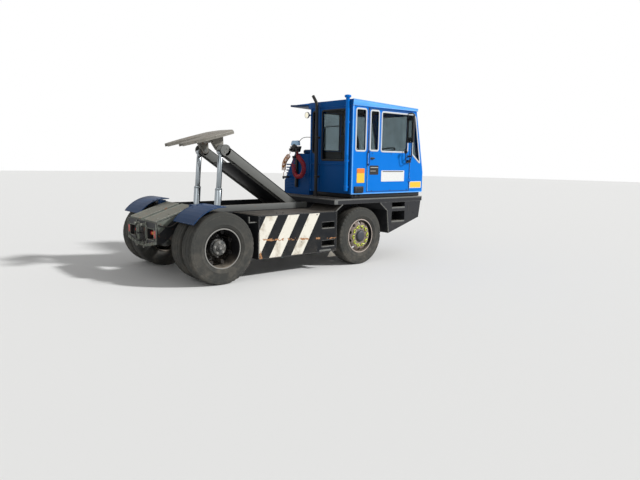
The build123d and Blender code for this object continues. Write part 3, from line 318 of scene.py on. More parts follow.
def stripes_paint(tree, place):
    """Black with slanting white stripes on the outer faces, chipped, with a rusty seam."""
    x, y, z = add(tree, "SeparateXYZ", None, place).outputs
    stripe_period, stripe_width, stripe_lean = 0.425, 0.222, 0.56
    stripe_end = AXLE_X + 1.45
    origin = AXLE_X + 0.79 - 2 * stripe_period
    lean = sums(tree, "MULTIPLY", sums(tree, "SUBTRACT", z, BOXES.low.z), stripe_lean)
    along = sums(tree, "SUBTRACT", sums(tree, "SUBTRACT", x, origin), lean)
    wobble = sums(tree, "MULTIPLY", sums(tree, "SUBTRACT", noise(tree, place, 40.0, 3.0), 0.5), 0.008)
    turn = sums(tree, "FLOORED_MODULO", sums(tree, "ADD", along, wobble), stripe_period)
    inside = sums(tree, "LESS_THAN", turn, stripe_width)
    ended = sums(tree, "LESS_THAN", along, stripe_end - origin)
    outer = sums(tree, "GREATER_THAN", sums(tree, "ABSOLUTE", y), BOXES.high.y - 0.003)
    chips = stepped(tree, noise(tree, place, 24.0, 6.0, 0.7), 0.3, 0.36)
    mask = sums(tree, "MULTIPLY", sums(tree, "MULTIPLY", inside, ended), sums(tree, "MULTIPLY", outer, chips))
    grime = blended(tree, stepped(tree, noise(tree, place, 6.0, 5.0, 0.65), 0.45, 0.75),
                    colour("stripe_white"), (0.42, 0.36, 0.27))
    striped = blended(tree, mask, colour("frame_black"), grime)
    seam_z = sums(tree, "SUBTRACT", 0.645, sums(tree, "MULTIPLY", sums(tree, "SUBTRACT", x, AXLE_X), 0.055))
    off = sums(tree, "ABSOLUTE", sums(tree, "SUBTRACT", z, seam_z))
    ragged = sums(tree, "MULTIPLY", noise(tree, place, 9.0, 6.0, 0.75), 0.088)
    near = sums(tree, "LESS_THAN", off, sums(tree, "SUBTRACT", ragged, 0.03))
    streak = sums(tree, "MULTIPLY", stepped(tree, noise(tree, place, 3.2, 4.0, 0.7), 0.47, 0.5), near)
    foot = sums(tree, "LESS_THAN", sums(tree, "ADD", sums(tree, "ABSOLUTE", sums(tree, "SUBTRACT", x,
                AXLE_X + 0.635)), sums(tree, "MULTIPLY", sums(tree, "SUBTRACT", z, BOXES.low.z), 0.25)),
                sums(tree, "MULTIPLY", noise(tree, place, 30.0, 4.0), 0.07))
    scar = sums(tree, "MULTIPLY", sums(tree, "MAXIMUM", streak, foot), outer)
    return blended(tree, scar, striped, (0.4, 0.2, 0.09))


def glass_finish():
    made, tree, shader = material("window_glass")
    place = add(tree, "TexCoord").outputs["Object"]
    film = stepped(tree, noise(tree, place, 5.0, 5.0, 0.65), 0.35, 0.8)
    tree.links.new(add(tree, "MapRange", None, film, 0.0, 1.0, 0.02, 0.16).outputs[0],
                   shader.inputs["Roughness"])
    tree.links.new(blended(tree, film, (0.33, 0.39, 0.41), (0.27, 0.31, 0.32)), shader.inputs["Base Color"])
    shader.inputs["Transmission Weight"].default_value = 1.0
    shader.inputs["IOR"].default_value = 1.15
    FINISHES["window_glass"] = made


def fabric_finish():
    made, tree, shader = material("seat_fabric")
    place = add(tree, "TexCoord").outputs["Object"]
    cross = [add(tree, "TexWave", {"wave_type": "BANDS", "bands_direction": way}, Vector=place, Scale=150.0,
                 Distortion=0.6).outputs[1] for way in ("X", "Z")]
    woven = sums(tree, "MULTIPLY", *cross)
    tree.links.new(blended(tree, woven, (0.02, 0.021, 0.024), (0.075, 0.078, 0.085)),
                   shader.inputs["Base Color"])
    shader.inputs["Roughness"].default_value = 0.9
    shader.inputs["Sheen Weight"].default_value = 0.3
    tree.links.new(add(tree, "Bump", None, Height=woven, Distance=0.0008).outputs[0],
                   shader.inputs["Normal"])
    FINISHES["seat_fabric"] = made


def plain_finish(name, base, rough=0.4, metal=0.0, glow=0.0, bumps=60.0, depth=0.0003, varied=0.2):
    """A clean small part: its colour varies a little and its face is slightly uneven."""
    made, tree, shader = material(name)
    place = add(tree, "TexCoord").outputs["Object"]
    cloud = noise(tree, place, bumps, 4.0, 0.6)
    tree.links.new(blended(tree, cloud, shaded(base, 1 - varied), shaded(base, 1 + varied)),
                   shader.inputs["Base Color"])
    tree.links.new(add(tree, "MapRange", None, cloud, 0.0, 1.0, rough * 0.7, min(1.0, rough * 1.3)).outputs[0],
                   shader.inputs["Roughness"])
    tree.links.new(add(tree, "Bump", None, Height=cloud, Distance=depth).outputs[0], shader.inputs["Normal"])
    shader.inputs["Metallic"].default_value = metal
    if glow:
        shader.inputs["Emission Color"].default_value = (*base, 1)
        shader.inputs["Emission Strength"].default_value = glow
    FINISHES[name] = made


def make_finishes():
    GROUPS.update({"Edge wear": edge_wear_group(), "Dust": dust_group(), "Rust": rust_group(),
                   "Grain": grain_group()})
    black = colour("frame_black")
    blue = colour("cab_blue")
    weathered("frame_black", black, 0.5, wear=0.6, worn=(0.12, 0.12, 0.115), rust=0.3, dust=0.28, low=0.14)
    # Grey worn steel. On the rails' outer and top faces its lighter grey is painted sunlight. On the deck edges and
    # box treads it is wear.
    weathered("worn_rail", (0.125, 0.13, 0.125), 0.6, wear=0.7, worn=(0.3, 0.28, 0.25), rust=0.3, dust=0.3)
    weathered("pin_steel", (0.36, 0.35, 0.33), 0.4, 0.8, wear=0.3, rust=0.36, dust=0.3)
    weathered("worn_steel", (0.13, 0.145, 0.125), 0.6, 0.3, varied=0.45, wear=0.6, worn=(0.4, 0.39, 0.36), rust=0.42,
              dust=0.45, rust_scale=9.0)
    weathered("cast_dark", (0.045, 0.043, 0.04), 0.7, wear=0.4, rust=0.38, dust=0.5, low=0.8,
              grain=0.0015, grain_scale=90.0)
    weathered("mudguard_blue", (0.004, 0.035, 0.11), 0.42, wear=0.5, worn=(0.16, 0.17, 0.19), rust=0.2,
              dust=0.0, low=0.0, shine=0.08)
    weathered("box_black", black, 0.42, wear=0.6, worn=(0.13, 0.12, 0.11), rust=0.24, dust=0.3, low=0.1, shine=0.12,
              paint=stripes_paint, varied=0.1)
    weathered("deck_black", (0.014, 0.015, 0.018), 0.5, wear=0.7, worn=(0.16, 0.16, 0.155), rust=0.25,
              dust=0.28, low=0.12)
    weathered("cab_blue", blue, 0.42, wear=0.28, worn=(0.32, 0.34, 0.36), rust=0.1, dust=0.02, low=0.0,
              coat=0.0, varied=0.05, rust_scale=14.0, shine=0.1)
    weathered("cab_inner", (0.05, 0.051, 0.055), 0.75, wear=0.1, rust=0.0, dust=0.25, low=0.0)
    weathered("engine_paint", (0.03, 0.032, 0.035), 0.6, wear=0.3, rust=0.3, dust=0.5)
    weathered("rubber_black", (0.018, 0.018, 0.019), 0.75, wear=0.1, rust=0.0, dust=0.35, low=0.4)
    weathered("exhaust_steel", (0.02, 0.02, 0.021), 0.6, 0.3, wear=0.3, rust=0.3, dust=0.1, low=0.0)
    weathered("pipe_black", (0.02, 0.02, 0.022), 0.45, wear=0.4, rust=0.12, dust=0.25, low=0.2)
    weathered("mirror_black", (0.016, 0.016, 0.017), 0.5, wear=0.2, rust=0.0, dust=0.25, low=0.0)
    weathered("spring_steel", (0.05, 0.045, 0.04), 0.7, wear=0.3, rust=0.5, dust=0.4, low=0.8)
    # Near-black arm paint. The arm's top, bottom and pivot plates take it as painted shade, the shaded copy beside
    # the lit grey of its sides. Its wear, rust and dust are real.
    weathered("arm_grey", (0.012, 0.013, 0.015), 0.5, wear=0.8, worn=(0.26, 0.26, 0.25), rust=0.25,
              dust=0.4, low=0.0, wear_width=0.010)
    # The lit copy of the arm's paint. The side plates, bosses and pins take this lighter grey beside the painted
    # shade of the other plates. Its edge wear and rust are real.
    weathered("arm_worn", (0.135, 0.138, 0.13), 0.6, wear=0.7, worn=(0.34, 0.32, 0.29), rust=0.32, dust=0.2, low=0.0)
    # A darker copy of the cab blue, which is painted shade. The rear wall, the engine cover, the hatch, and their
    # ribs and louvres take it. Its wear and rust are real.
    weathered("cab_rear", shaded(blue, 0.42), 0.45, wear=0.2, worn=(0.12, 0.16, 0.22), rust=0.1, dust=0.04, low=0.0,
              varied=0.05, rust_scale=14.0, shine=0.1)
    weathered("plate_steel", (0.19, 0.18, 0.155), 0.5, 0.3, wear=0.8, worn=(0.42, 0.4, 0.37), rust=0.42,
              dust=0.35, rust_scale=8.0)
    weathered("barrel_grey", (0.13, 0.138, 0.142), 0.42, 0.35, wear=0.5, worn=(0.45, 0.45, 0.44), rust=0.28,
              dust=0.3)
    weathered("rod_chrome", (0.28, 0.31, 0.33), 0.18, 1.0, wear=0.1, rust=0.14, dust=0.15, grain=0.0002,
              varied=0.05)
    weathered("tyre_rubber", (0.037, 0.038, 0.035), 0.82, wear=0.35, worn=(0.10, 0.10, 0.092), rust=0.0,
              dust=0.16, low=0.22, height=1.2, grain=0.0012, grain_scale=120.0)
    weathered("rim_paint", (0.2, 0.155, 0.13), 0.6, wear=0.5, worn=(0.5, 0.42, 0.36), rust=0.3,
              dust=0.3, low=0.5, rust_scale=9.0)
    # Dark rim steel. The dust on its lower part, up to 0.46 m, is thrown-up dirt and also painted sunlight on the
    # lower part of the barrel.
    weathered("rim_dark", (0.012, 0.012, 0.013), 0.5, 0.1, wear=0.5, worn=(0.25, 0.22, 0.2), rust=0.32,
              dust=0.5, low=1.0, height=0.46, rust_scale=8.0)
    weathered("hub_grey", (0.055, 0.06, 0.06), 0.5, 0.3, wear=0.5, worn=(0.5, 0.5, 0.5), rust=0.25, dust=0.3)
    # A light blue for the cab's edges. It is a painted highlight where light catches the roof edge, the lower edge
    # and the door's edges. Its wear and rust are real.
    weathered("cab_edge", (0.1, 0.4, 0.92), 0.4, wear=0.5, worn=(0.5, 0.52, 0.55), rust=0.12, dust=0.05, low=0.0,
              rust_scale=14.0)
    plain_finish("hose_red", (0.36, 0.012, 0.022), 0.42)
    plain_finish("hose_yellow", (0.55, 0.19, 0.0), 0.7)
    plain_finish("red_lens", (0.5, 0.02, 0.015), 0.12, bumps=20.0)
    plain_finish("amber_lens", (0.75, 0.27, 0.02), 0.12, bumps=20.0)
    plain_finish("lamp_glass", (0.8, 0.82, 0.82), 0.08, bumps=15.0, varied=0.05)
    plain_finish("mirror_face", (0.75, 0.77, 0.78), 0.03, 1.0, bumps=3.0, depth=0.0001, varied=0.02)
    plain_finish("window_rubber", (0.58, 0.6, 0.62), 0.6, bumps=40.0)
    plain_finish("plate_white", (0.72, 0.73, 0.72), 0.4)
    plain_finish("plate_yellow", (0.85, 0.52, 0.03), 0.35)
    plain_finish("plate_orange", (0.85, 0.2, 0.02), 0.35)
    plain_finish("plate_black", (0.006, 0.006, 0.007), 0.35)
    plain_finish("nut_marker", (0.72, 0.82, 0.07), 0.45)
    # Light blue of the hose stand's lamp hood: painted sunlight on a blue hood.
    plain_finish("lamp_blue", (0.42, 0.66, 0.92), 0.3)
    plain_finish("lamp_lit", (0.95, 0.9, 0.72), 0.3, glow=0.5)
    plain_finish("rim_lip", (0.4, 0.34, 0.3), 0.6, bumps=70.0)
    plain_finish("zinc_dull", (0.24, 0.235, 0.22), 0.5, 0.3, bumps=70.0)
    plain_finish("hub_front", (0.05, 0.052, 0.06), 0.55, 0.3, bumps=50.0)
    plain_finish("zinc", (0.5, 0.5, 0.48), 0.35, 0.9, bumps=90.0)
    glass_finish()
    fabric_finish()


# Mesh building


def finished(name, mesh, body, slot, finish=None, replaced=(), smooth=38.0, clean=True):
    """Turns a bmesh into a finished piece that rides on its body."""
    if clean:
        bmesh.ops.remove_doubles(mesh, verts=mesh.verts, dist=1e-5)
        bmesh.ops.recalc_face_normals(mesh, faces=mesh.faces)
    for face in mesh.faces:
        face.smooth = True
    data = bpy.data.meshes.new(name)
    mesh.to_mesh(data)
    mesh.free()
    data.set_sharp_from_angle(angle=math.radians(smooth))
    data.materials.append(FINISHES[finish or slot])
    piece = bpy.data.objects.new(name, data)
    bpy.context.scene.collection.objects.link(piece)
    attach(piece, body)
    if replaced:
        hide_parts(*replaced)
    return piece


def with_finish(mesh, first, index):
    """Gives the faces from number first on a material index."""
    for face in list(mesh.faces)[first:]:
        face.material_index = index


def box(mesh, low, high, soft=0.0, segments=2, place=None):
    low, high = Vector(low), Vector(high)
    size = high - low
    place = (place or Matrix()) @ Matrix.Translation((low + high) / 2) @ Matrix.Diagonal((*size, 1))
    made = bmesh.ops.create_cube(mesh, size=1.0, matrix=place)["verts"]
    if soft:
        edges = {edge for vert in made for edge in vert.link_edges}
        bmesh.ops.bevel(mesh, geom=list(edges), offset=soft, segments=segments, affect="EDGES",
                        profile=0.5, material=-1)
    return made


def turn_to(direction):
    return Vector((0, 0, 1)).rotation_difference(Vector(direction)).to_matrix().to_4x4()


def rod(mesh, start, end, radius, sides=20, tip=None):
    """A round bar, or a cone where tip gives the radius of its far end."""
    start, end = Vector(start), Vector(end)
    line = end - start
    place = Matrix.Translation((start + end) / 2) @ turn_to(line)
    return bmesh.ops.create_cone(mesh, cap_ends=True, cap_tris=False, segments=sides, radius1=radius,
                                 radius2=radius if tip is None else tip, depth=line.length,
                                 matrix=place)["verts"]


def turned(mesh, profile, middle, axis=ACROSS, steps=64, start=Vector((1, 0, 0))):
    """Turns a profile of (radius, distance along the axis) about an axis through a place."""
    made = [mesh.verts.new(Vector(middle) + Vector(axis) * along + start * radius)
            for radius, along in profile]
    edges = [mesh.edges.new(pair) for pair in zip(made, made[1:])]
    bmesh.ops.spin(mesh, geom=made + edges, cent=middle, axis=axis, dvec=(0, 0, 0), angle=2 * math.pi,
                   steps=steps, use_merge=True, use_duplicate=False)


def ring_of(mesh, count, middle, radius, build, phase=0.0):
    """Calls build for each of count places round a cross axis."""
    for step in range(count):
        angle = phase + step * 2 * math.pi / count
        build(Vector(middle) + Vector((math.cos(angle), 0, math.sin(angle))) * radius, angle)


# Wheels


def tyre(mesh, centre_y, sizes, box_of):
    """A road tyre: grooves round it, cut shoulders, and rings on its walls."""
    middle = Vector((box_of.middle.x, centre_y, box_of.middle.z))
    radius = box_of.size.z / 2
    half = 0.14
    bead = 0.2865
    deep = sizes.tread_depth
    gap = sizes.groove_width / 2
    wall = [(bead, 0.100), (bead + 0.012, 0.108), (0.304, 0.117), (0.318, 0.126), (0.336, 0.134),
            (0.350, 0.138), (0.353, 0.1405), (0.358, 0.1405), (0.361, 0.139), (0.395, half), (0.425, 0.139),
            (radius - 0.062, 0.135), (radius - 0.060, 0.1368), (radius - 0.054, 0.1365),
            (radius - 0.052, 0.134), (radius - 0.034, 0.1325), (radius - 0.014, 0.130),
            (radius - 0.006, 0.124), (radius - 0.002, 0.112)]
    tread = []
    for groove in (0.078, 0.0):
        top = radius - 0.001 if groove else radius
        tread += [(top, groove + gap), (radius - deep, groove + gap * 0.6)]
        if groove:
            tread += [(radius - deep, groove - gap * 0.6), (radius, groove - gap)]
    side = wall + tread
    profile = [(reach, -along) for reach, along in side] + [(reach, along) for reach, along in side[::-1]]
    steps = sizes.turn_steps
    before = len(mesh.verts)
    turned(mesh, profile, middle, steps=steps)
    mesh.verts.ensure_lookup_table()
    block = 2 * math.pi / sizes.shoulder_blocks
    for vert in mesh.verts[before:]:
        arm = vert.co - middle
        reach = math.hypot(arm.x, arm.z)
        if reach < radius - 0.04:
            continue
        angle = math.atan2(arm.z, arm.x) % block
        along = abs(arm.y)
        if reach > radius - 0.0125 and along < 0.1:
            vert.co.y += 0.0035 * math.sin(math.atan2(arm.z, arm.x) * sizes.shoulder_blocks)
        elif along > 0.1 and angle < block * 0.24:
            inward = 1 - (0.008 if along > 0.12 else 0.006) / reach
            vert.co.x = middle.x + arm.x * inward
            vert.co.z = middle.z + arm.z * inward
            vert.co.y -= math.copysign(0.005 if along > 0.12 else 0, arm.y)


def barrel_profile(centre):
    """The rim's barrel, from its inner lip round to its outer lip and back through the bore."""
    lip = 0.122
    outer = [(0.279, lip - 0.004), (0.282, lip), (0.2965, lip), (0.2985, lip - 0.003), (0.2985, lip - 0.008),
             (0.293, lip - 0.0115), (0.2862, 0.104), (0.2855, 0.06)]
    inner = [(0.276, 0.06), (0.2745, 0.098)]
    half = outer + []
    profile = [(reach, centre - along) for reach, along in inner + half]
    profile += [(reach, centre + along) for reach, along in (inner + half)[::-1]]
    return profile + [profile[0]]


def cut_holes(mesh, count, middle, radius, hole, depth):
    """Cuts round hand holes right through a wheel disc."""
    data = bpy.data.meshes.new("disc")
    mesh.to_mesh(data)
    mesh.free()
    holder = bpy.data.objects.new("disc", data)
    cutter_mesh = bmesh.new()
    ring_of(cutter_mesh, count, middle, radius,
            lambda place, angle: rod(cutter_mesh, place - ACROSS * depth, place + ACROSS * depth, hole, 20),
            math.pi / count)
    cutter_data = bpy.data.meshes.new("holes")
    cutter_mesh.to_mesh(cutter_data)
    cutter_mesh.free()
    cutter = bpy.data.objects.new("holes", cutter_data)
    for piece in (holder, cutter):
        bpy.context.scene.collection.objects.link(piece)
    cut = holder.modifiers.new("cut", "BOOLEAN")
    cut.operation, cut.object, cut.solver = "DIFFERENCE", cutter, "EXACT"
    result = bpy.data.meshes.new_from_object(holder.evaluated_get(bpy.context.evaluated_depsgraph_get()))
    made = bmesh.new()
    made.from_mesh(result)
    bpy.data.objects.remove(holder)
    bpy.data.objects.remove(cutter)
    return made


def wheel_nut(mesh, place, sign, length=0.024, across_flats=0.016):
    """A hexagon nut on its washer with the stud's end showing."""
    out = ACROSS * sign
    rod(mesh, place - out * 0.004, place + out * 0.003, across_flats * 1.25, 20)
    nut = rod(mesh, place, place + out * length, across_flats, 6)
    tip = {edge for vert in nut for edge in vert.link_edges}
    bmesh.ops.bevel(mesh, geom=list(tip), offset=0.0012, segments=1, affect="EDGES", profile=0.5, material=-1)
    rod(mesh, place, place + out * (length + 0.009), across_flats * 0.5, 14)


def shell_normals(mesh):
    bmesh.ops.remove_doubles(mesh, verts=mesh.verts, dist=1e-5)
    bmesh.ops.recalc_face_normals(mesh, faces=mesh.faces)


def rim_edge(mesh, middle, centre, sign):
    """The bright worn lip round the outer edge of a rim."""
    out = ACROSS * (centre + sign * 0.1225)
    turned(mesh, [(0.2815, 0.0), (0.2815, sign * 0.0015), (0.2960, sign * 0.0015), (0.2990, -sign * 0.002),
                  (0.2990, -sign * 0.006)], middle + out, steps=96)


def rear_wheels(side, sign, sizes):
    body = f"rear_wheels_{side}"
    centres = [sign * (REAR_TYRES.high.y - 0.14), sign * (REAR_TYRES.low.y + 0.14)]
    middle = Vector((AXLE_X, 0, REAR_TYRES.middle.z))
    rubber = bmesh.new()
    for centre in centres:
        tyre(rubber, centre, sizes, REAR_TYRES)
    finished(f"road_tyres_rear_{side}", rubber, body, "tyre_rubber", replaced=[f"rear_tyres_{side}"],
             smooth=32)
    seat = sign * (REAR_TYRES.low.y + REAR_TYRES.high.y) / 2
    disc = bmesh.new()
    for way in (1, -1):
        out = sign * way
        rim = seat + out * 0.165
        dish = [(0.126, 0.002), (0.205, 0.002), (0.216, 0.006), (0.226, 0.018), (0.262, 0.078),
                (0.270, 0.086), (0.2765, 0.088), (0.2765, 0.100), (0.266, 0.099), (0.255, 0.090),
                (0.216, 0.024), (0.206, 0.013), (0.126, 0.013), (0.126, 0.002)]
        turned(disc, [(reach, out * along) for reach, along in dish], middle + ACROSS * seat, steps=96)
        turned(disc, barrel_profile(0.0), middle + ACROSS * rim, steps=96)
    shell_normals(disc)
    disc = cut_holes(disc, 8, middle + ACROSS * seat, 0.242, 0.029, 0.11)
    finished(f"rims_rear_{side}", disc, body, "rim_paint", "rim_dark", [f"rear_rims_{side}"], clean=False)
    hub = bmesh.new()
    out_from = seat + sign * 0.012
    shape = [(0.0, 0.222), (0.030, 0.222), (0.034, 0.219), (0.034, 0.208), (0.052, 0.206), (0.056, 0.2),
             (0.060, 0.192), (0.095, 0.190), (0.106, 0.186), (0.112, 0.178), (0.114, 0.15), (0.120, 0.146),
             (0.128, 0.142), (0.130, 0.13), (0.130, 0.03), (0.138, 0.024), (0.142, 0.0), (0.145, -0.075),
             (0.205, -0.09), (0.208, -0.25), (0.06, -0.255)]
    turned(hub, [(reach, sign * along) for reach, along in shape], middle + ACROSS * (seat), steps=72)
    ring_of(hub, 12, middle + ACROSS * (seat + sign * 0.148), 0.119,
            lambda place, angle: rod(hub, place, place + ACROSS * sign * 0.012, 0.0065, 6))
    finished(f"hub_rear_{side}", hub, body, "rim_paint", "hub_grey")
    bright = bmesh.new()
    ring_of(bright, 5, middle + ACROSS * (seat + sign * 0.190), 0.078,
            lambda place, angle: bolt(bright, place, ACROSS * sign, 0.015), 0.4)
    rod(bright, middle + ACROSS * (seat + sign * 0.221), middle + ACROSS * (seat + sign * 0.226), 0.017, 24)
    rim_edge(bright, middle, sign * (REAR_TYRES.high.y - 0.14), sign)
    finished(f"rim_edge_rear_{side}", bright, body, "rim_paint", "zinc_dull")
    nuts = bmesh.new()
    ring_of(nuts, sizes.nuts, middle + ACROSS * out_from, 0.1675,
            lambda place, angle: wheel_nut(nuts, place, sign))
    finished(f"nuts_rear_{side}", nuts, body, "rim_paint", "hub_grey")


def front_wheel(side, sign, sizes):
    body = f"front_wheel_{side}"
    centre = sign * (FRONT_TYRE.high.y - 0.14)
    middle = Vector((FRONT_TYRE.middle.x, centre, FRONT_TYRE.middle.z))
    rubber = bmesh.new()
    tyre(rubber, centre, sizes, FRONT_TYRE)
    finished(f"road_tyre_front_{side}", rubber, body, "tyre_rubber", replaced=[f"front_tyre_{side}"],
             smooth=32)
    face = 0.112
    disc = bmesh.new()
    dish = [(0.10, face - 0.012), (0.196, face - 0.012), (0.208, face - 0.018), (0.262, face - 0.066),
            (0.2765, face - 0.072), (0.2765, face - 0.058), (0.268, face - 0.053), (0.226, face - 0.010),
            (0.216, face - 0.003), (0.204, face), (0.10, face), (0.10, face - 0.012)]
    turned(disc, [(reach, sign * along) for reach, along in dish], middle, steps=96)
    shell_normals(disc)
    disc = cut_holes(disc, 10, middle + ACROSS * sign * 0.08, 0.237, 0.029, 0.05)
    finished(f"disc_front_{side}", disc, body, "rim_paint", clean=False)
    rim = bmesh.new()
    turned(rim, barrel_profile(0.0), middle, steps=96)
    shell_normals(rim)
    finished(f"rim_front_{side}", rim, body, "rim_paint", "rim_dark", [f"front_rim_{side}"], clean=False)
    lip = bmesh.new()
    rim_edge(lip, Vector((middle.x, 0, middle.z)), centre, sign)
    finished(f"rim_edge_front_{side}", lip, body, "rim_paint", "rim_lip")
    hub = bmesh.new()
    shape = [(0.0, face + 0.036), (0.060, face + 0.036), (0.076, face + 0.033), (0.088, face + 0.026),
             (0.092, face + 0.018), (0.094, face + 0.006), (0.108, face + 0.004), (0.116, face - 0.004),
             (0.118, face - 0.02), (0.118, face - 0.075), (0.198, face - 0.09), (0.198, face - 0.2),
             (0.05, face - 0.205)]
    turned(hub, [(reach, sign * along) for reach, along in shape], middle, steps=72)
    ring_of(hub, 8, middle + ACROSS * sign * (face + 0.004), 0.101,
            lambda place, angle: rod(hub, place, place + ACROSS * sign * 0.008, 0.006, 6))
    finished(f"hub_front_{side}", hub, body, "rim_paint", "hub_front")
    nuts = bmesh.new()
    markers = bmesh.new()
    nut_plane = middle + ACROSS * sign * (face + 0.001)
    ring_of(nuts, sizes.nuts, nut_plane, 0.1675, lambda place, angle: wheel_nut(nuts, place, sign, 0.026))

    def marker(place, angle):
        out = ACROSS * sign
        turned(markers, [(0.0165, 0.004), (0.0255, 0.004), (0.0255, 0.017), (0.0165, 0.017),
                         (0.0165, 0.004)], place, out, 16)
        tangent = Vector((-math.sin(angle), 0, math.cos(angle)))
        arrow = [(place + tangent * 0.019) + out * 0.008, (place + tangent * 0.058) + out * 0.012]
        rod(markers, *arrow, 0.0150, 6, 0.004)

    ring_of(nuts, sizes.nuts, nut_plane, 0.1675, marker)
    finished(f"nuts_front_{side}", nuts, body, "rim_paint", "hub_grey")
    finished(f"nut_markers_{side}", markers, body, "rim_paint", "nut_marker")


# Air hoses


STEPS_A_TURN = 14
RED_ROUTE = [(2.425, 0.200, 1.990), (2.425, 0.200, 1.900), (2.405, -0.070, 1.730), (2.405, -0.010, 1.520),
             (2.415, 0.200, 1.490), (2.425, 0.300, 1.640), (2.425, 0.300, 1.850)]
YELLOW_ROUTE = [(2.425, 0.400, 1.990), (2.425, 0.400, 1.930), (2.410, 0.570, 1.780), (2.425, 0.610, 1.640),
                (2.425, 0.610, 1.500)]


def route_line(name, route):
    """The smooth line of a route, as points read from its NURBS spline."""
    curve = bpy.data.curves.new(name, "CURVE")
    curve.dimensions = "3D"
    curve.resolution_u = 40
    spline = curve.splines.new("NURBS")
    spline.points.add(len(route) - 1)
    for point, place in zip(spline.points, route):
        point.co = (*at(*place), 1)
    spline.order_u = 3
    spline.use_endpoint_u = True
    holder = bpy.data.objects.new(name, curve)
    bpy.context.scene.collection.objects.link(holder)
    data = bpy.data.meshes.new_from_object(holder.evaluated_get(bpy.context.evaluated_depsgraph_get()))
    points = [vert.co.copy() for vert in data.vertices]
    bpy.data.objects.remove(holder)
    return points


def line_at(points, distance):
    """The place and direction at a distance along a line of points."""
    for before, after in zip(points, points[1:]):
        length = (after - before).length
        if distance <= length or after is points[-1]:
            return before + (after - before) * (distance / length), (after - before).normalized()
        distance -= length
    raise ValueError("the line has fewer than two points")


def eased(share):
    share = min(share, 1.0)
    return share * share * (3 - 2 * share)


def coil_steps(length, sizes):
    """Distance and radius of each point of a coil whose turns open out towards its straight ends."""
    opening = STEPS_A_TURN
    end_pitch = 0.12
    ends, far = [], 0.0
    for step in range(opening):
        share = step / opening
        ends.append((far, sizes.coil * eased(share * 1.15)))
        far += (sizes.pitch + (end_pitch - sizes.pitch) * (1 - eased(share) ** 2)) / STEPS_A_TURN
    closed = length - 2 * far
    count = round(closed / sizes.pitch * STEPS_A_TURN)
    middle = [(far + closed * step / count, sizes.coil) for step in range(count + 1)]
    return ends + middle + [(length - distance, reach) for distance, reach in reversed(ends)]


def coiled_hose(name, route, finish, sizes):
    """A spiral air hose: its turns follow the route, with a straight cuff at each end."""
    points = route_line(name, route)
    length = sum((after - before).length for before, after in zip(points, points[1:]))
    cuff = 0.030
    side = Vector((1, 0, 0))
    helix = [points[0], line_at(points, cuff * 0.5)[0]]
    for step, (along, reach) in enumerate(coil_steps(length - 2 * cuff, sizes)):
        place, ahead = line_at(points, cuff + along)
        side = (side - ahead * side.dot(ahead)).normalized()
        other = ahead.cross(side)
        angle = step * 2 * math.pi / STEPS_A_TURN
        helix.append(place + (side * math.cos(angle) + other * math.sin(angle)) * reach)
    helix += [line_at(points, length - cuff * 0.5)[0], points[-1]]
    curve = bpy.data.curves.new(name, "CURVE")
    curve.dimensions = "3D"
    curve.bevel_depth = sizes.tube / 2
    curve.bevel_resolution = 2
    curve.resolution_u = 2
    curve.use_fill_caps = True
    spline = curve.splines.new("NURBS")
    spline.points.add(len(helix) - 1)
    for point, place in zip(spline.points, helix):
        point.co = (*place, 1)
    spline.order_u = 3
    spline.use_endpoint_u = True
    curve.materials.append(FINISHES[finish])
    piece = bpy.data.objects.new(name, curve)
    bpy.context.scene.collection.objects.link(piece)
    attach(piece, "chassis")
    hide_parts(f"air_hose_{finish[5:]}")
    return piece


# Shapes for the trim


def framed(origin, along, up=(0, 0, 1)):
    """A place whose X axis runs along a line, with Z as near to up as it can be."""
    along = Vector(along).normalized()
    across = Vector(up).cross(along).normalized()
    made = Matrix((along, across, along.cross(across))).transposed().to_4x4()
    made.translation = origin
    return made


def strip(mesh, x, y, z, soft=0.003, segments=2):
    """A soft-edged block between pairs of X, Y and Z, with X forward of the rear axle."""
    y = sorted(y)
    box(mesh, at(x[0], y[0], z[0]), at(x[1], y[1], z[1]), soft, segments)


def prism(mesh, outline, depth, soft=0.0, segments=2, place=None):
    """Draws an outline out by a vector and softens its edges."""
    place = place or Matrix()
    near = [mesh.verts.new(place @ Vector(point)) for point in outline]
    face = mesh.faces.new(near)
    grown = bmesh.ops.extrude_face_region(mesh, geom=[face], use_keep_orig=True)["geom"]
    far = [item for item in grown if isinstance(item, bmesh.types.BMVert)]
    bmesh.ops.translate(mesh, verts=far, vec=place.to_3x3() @ Vector(depth))
    edges = {edge for vert in near + far for edge in vert.link_edges}
    if soft:
        bmesh.ops.bevel(mesh, geom=list(edges), offset=soft, segments=segments, affect="EDGES", profile=0.5,
                        material=-1)


def softened(corners, soft, steps=4):
    """A closed outline with its corners rounded."""
    corners = [Vector(corner) for corner in corners]
    points = []
    for before, corner, after in zip(corners[-1:] + corners[:-1], corners, corners[1:] + corners[:1]):
        start = corner + (before - corner).normalized() * soft
        end = corner + (after - corner).normalized() * soft
        for step in range(steps + 1):
            share = step / steps
            points.append(start.lerp(corner, share).lerp(corner.lerp(end, share), share))
    return points


def swept(mesh, points, radius, sides=3, closed=False, bent=False):
    """A round bar along a line of places, as a loop where closed, or smooth where bent."""
    curve = bpy.data.curves.new("line", "CURVE")
    curve.dimensions = "3D"
    curve.bevel_depth = radius
    curve.bevel_resolution = sides
    curve.use_fill_caps = True
    spline = curve.splines.new("NURBS" if bent else "POLY")
    spline.points.add(len(points) - 1)
    for point, place in zip(spline.points, points):
        point.co = (*place, 1)
    spline.use_cyclic_u = closed
    if bent:
        spline.order_u = 3
        spline.use_endpoint_u = not closed
    holder = bpy.data.objects.new("line", curve)
    bpy.context.scene.collection.objects.link(holder)
    data = bpy.data.meshes.new_from_object(holder.evaluated_get(bpy.context.evaluated_depsgraph_get()))
    bpy.data.objects.remove(holder)
    before = set(mesh.verts)
    mesh.from_mesh(data)
    bpy.data.meshes.remove(data)
    return [vert for vert in mesh.verts if vert not in before]


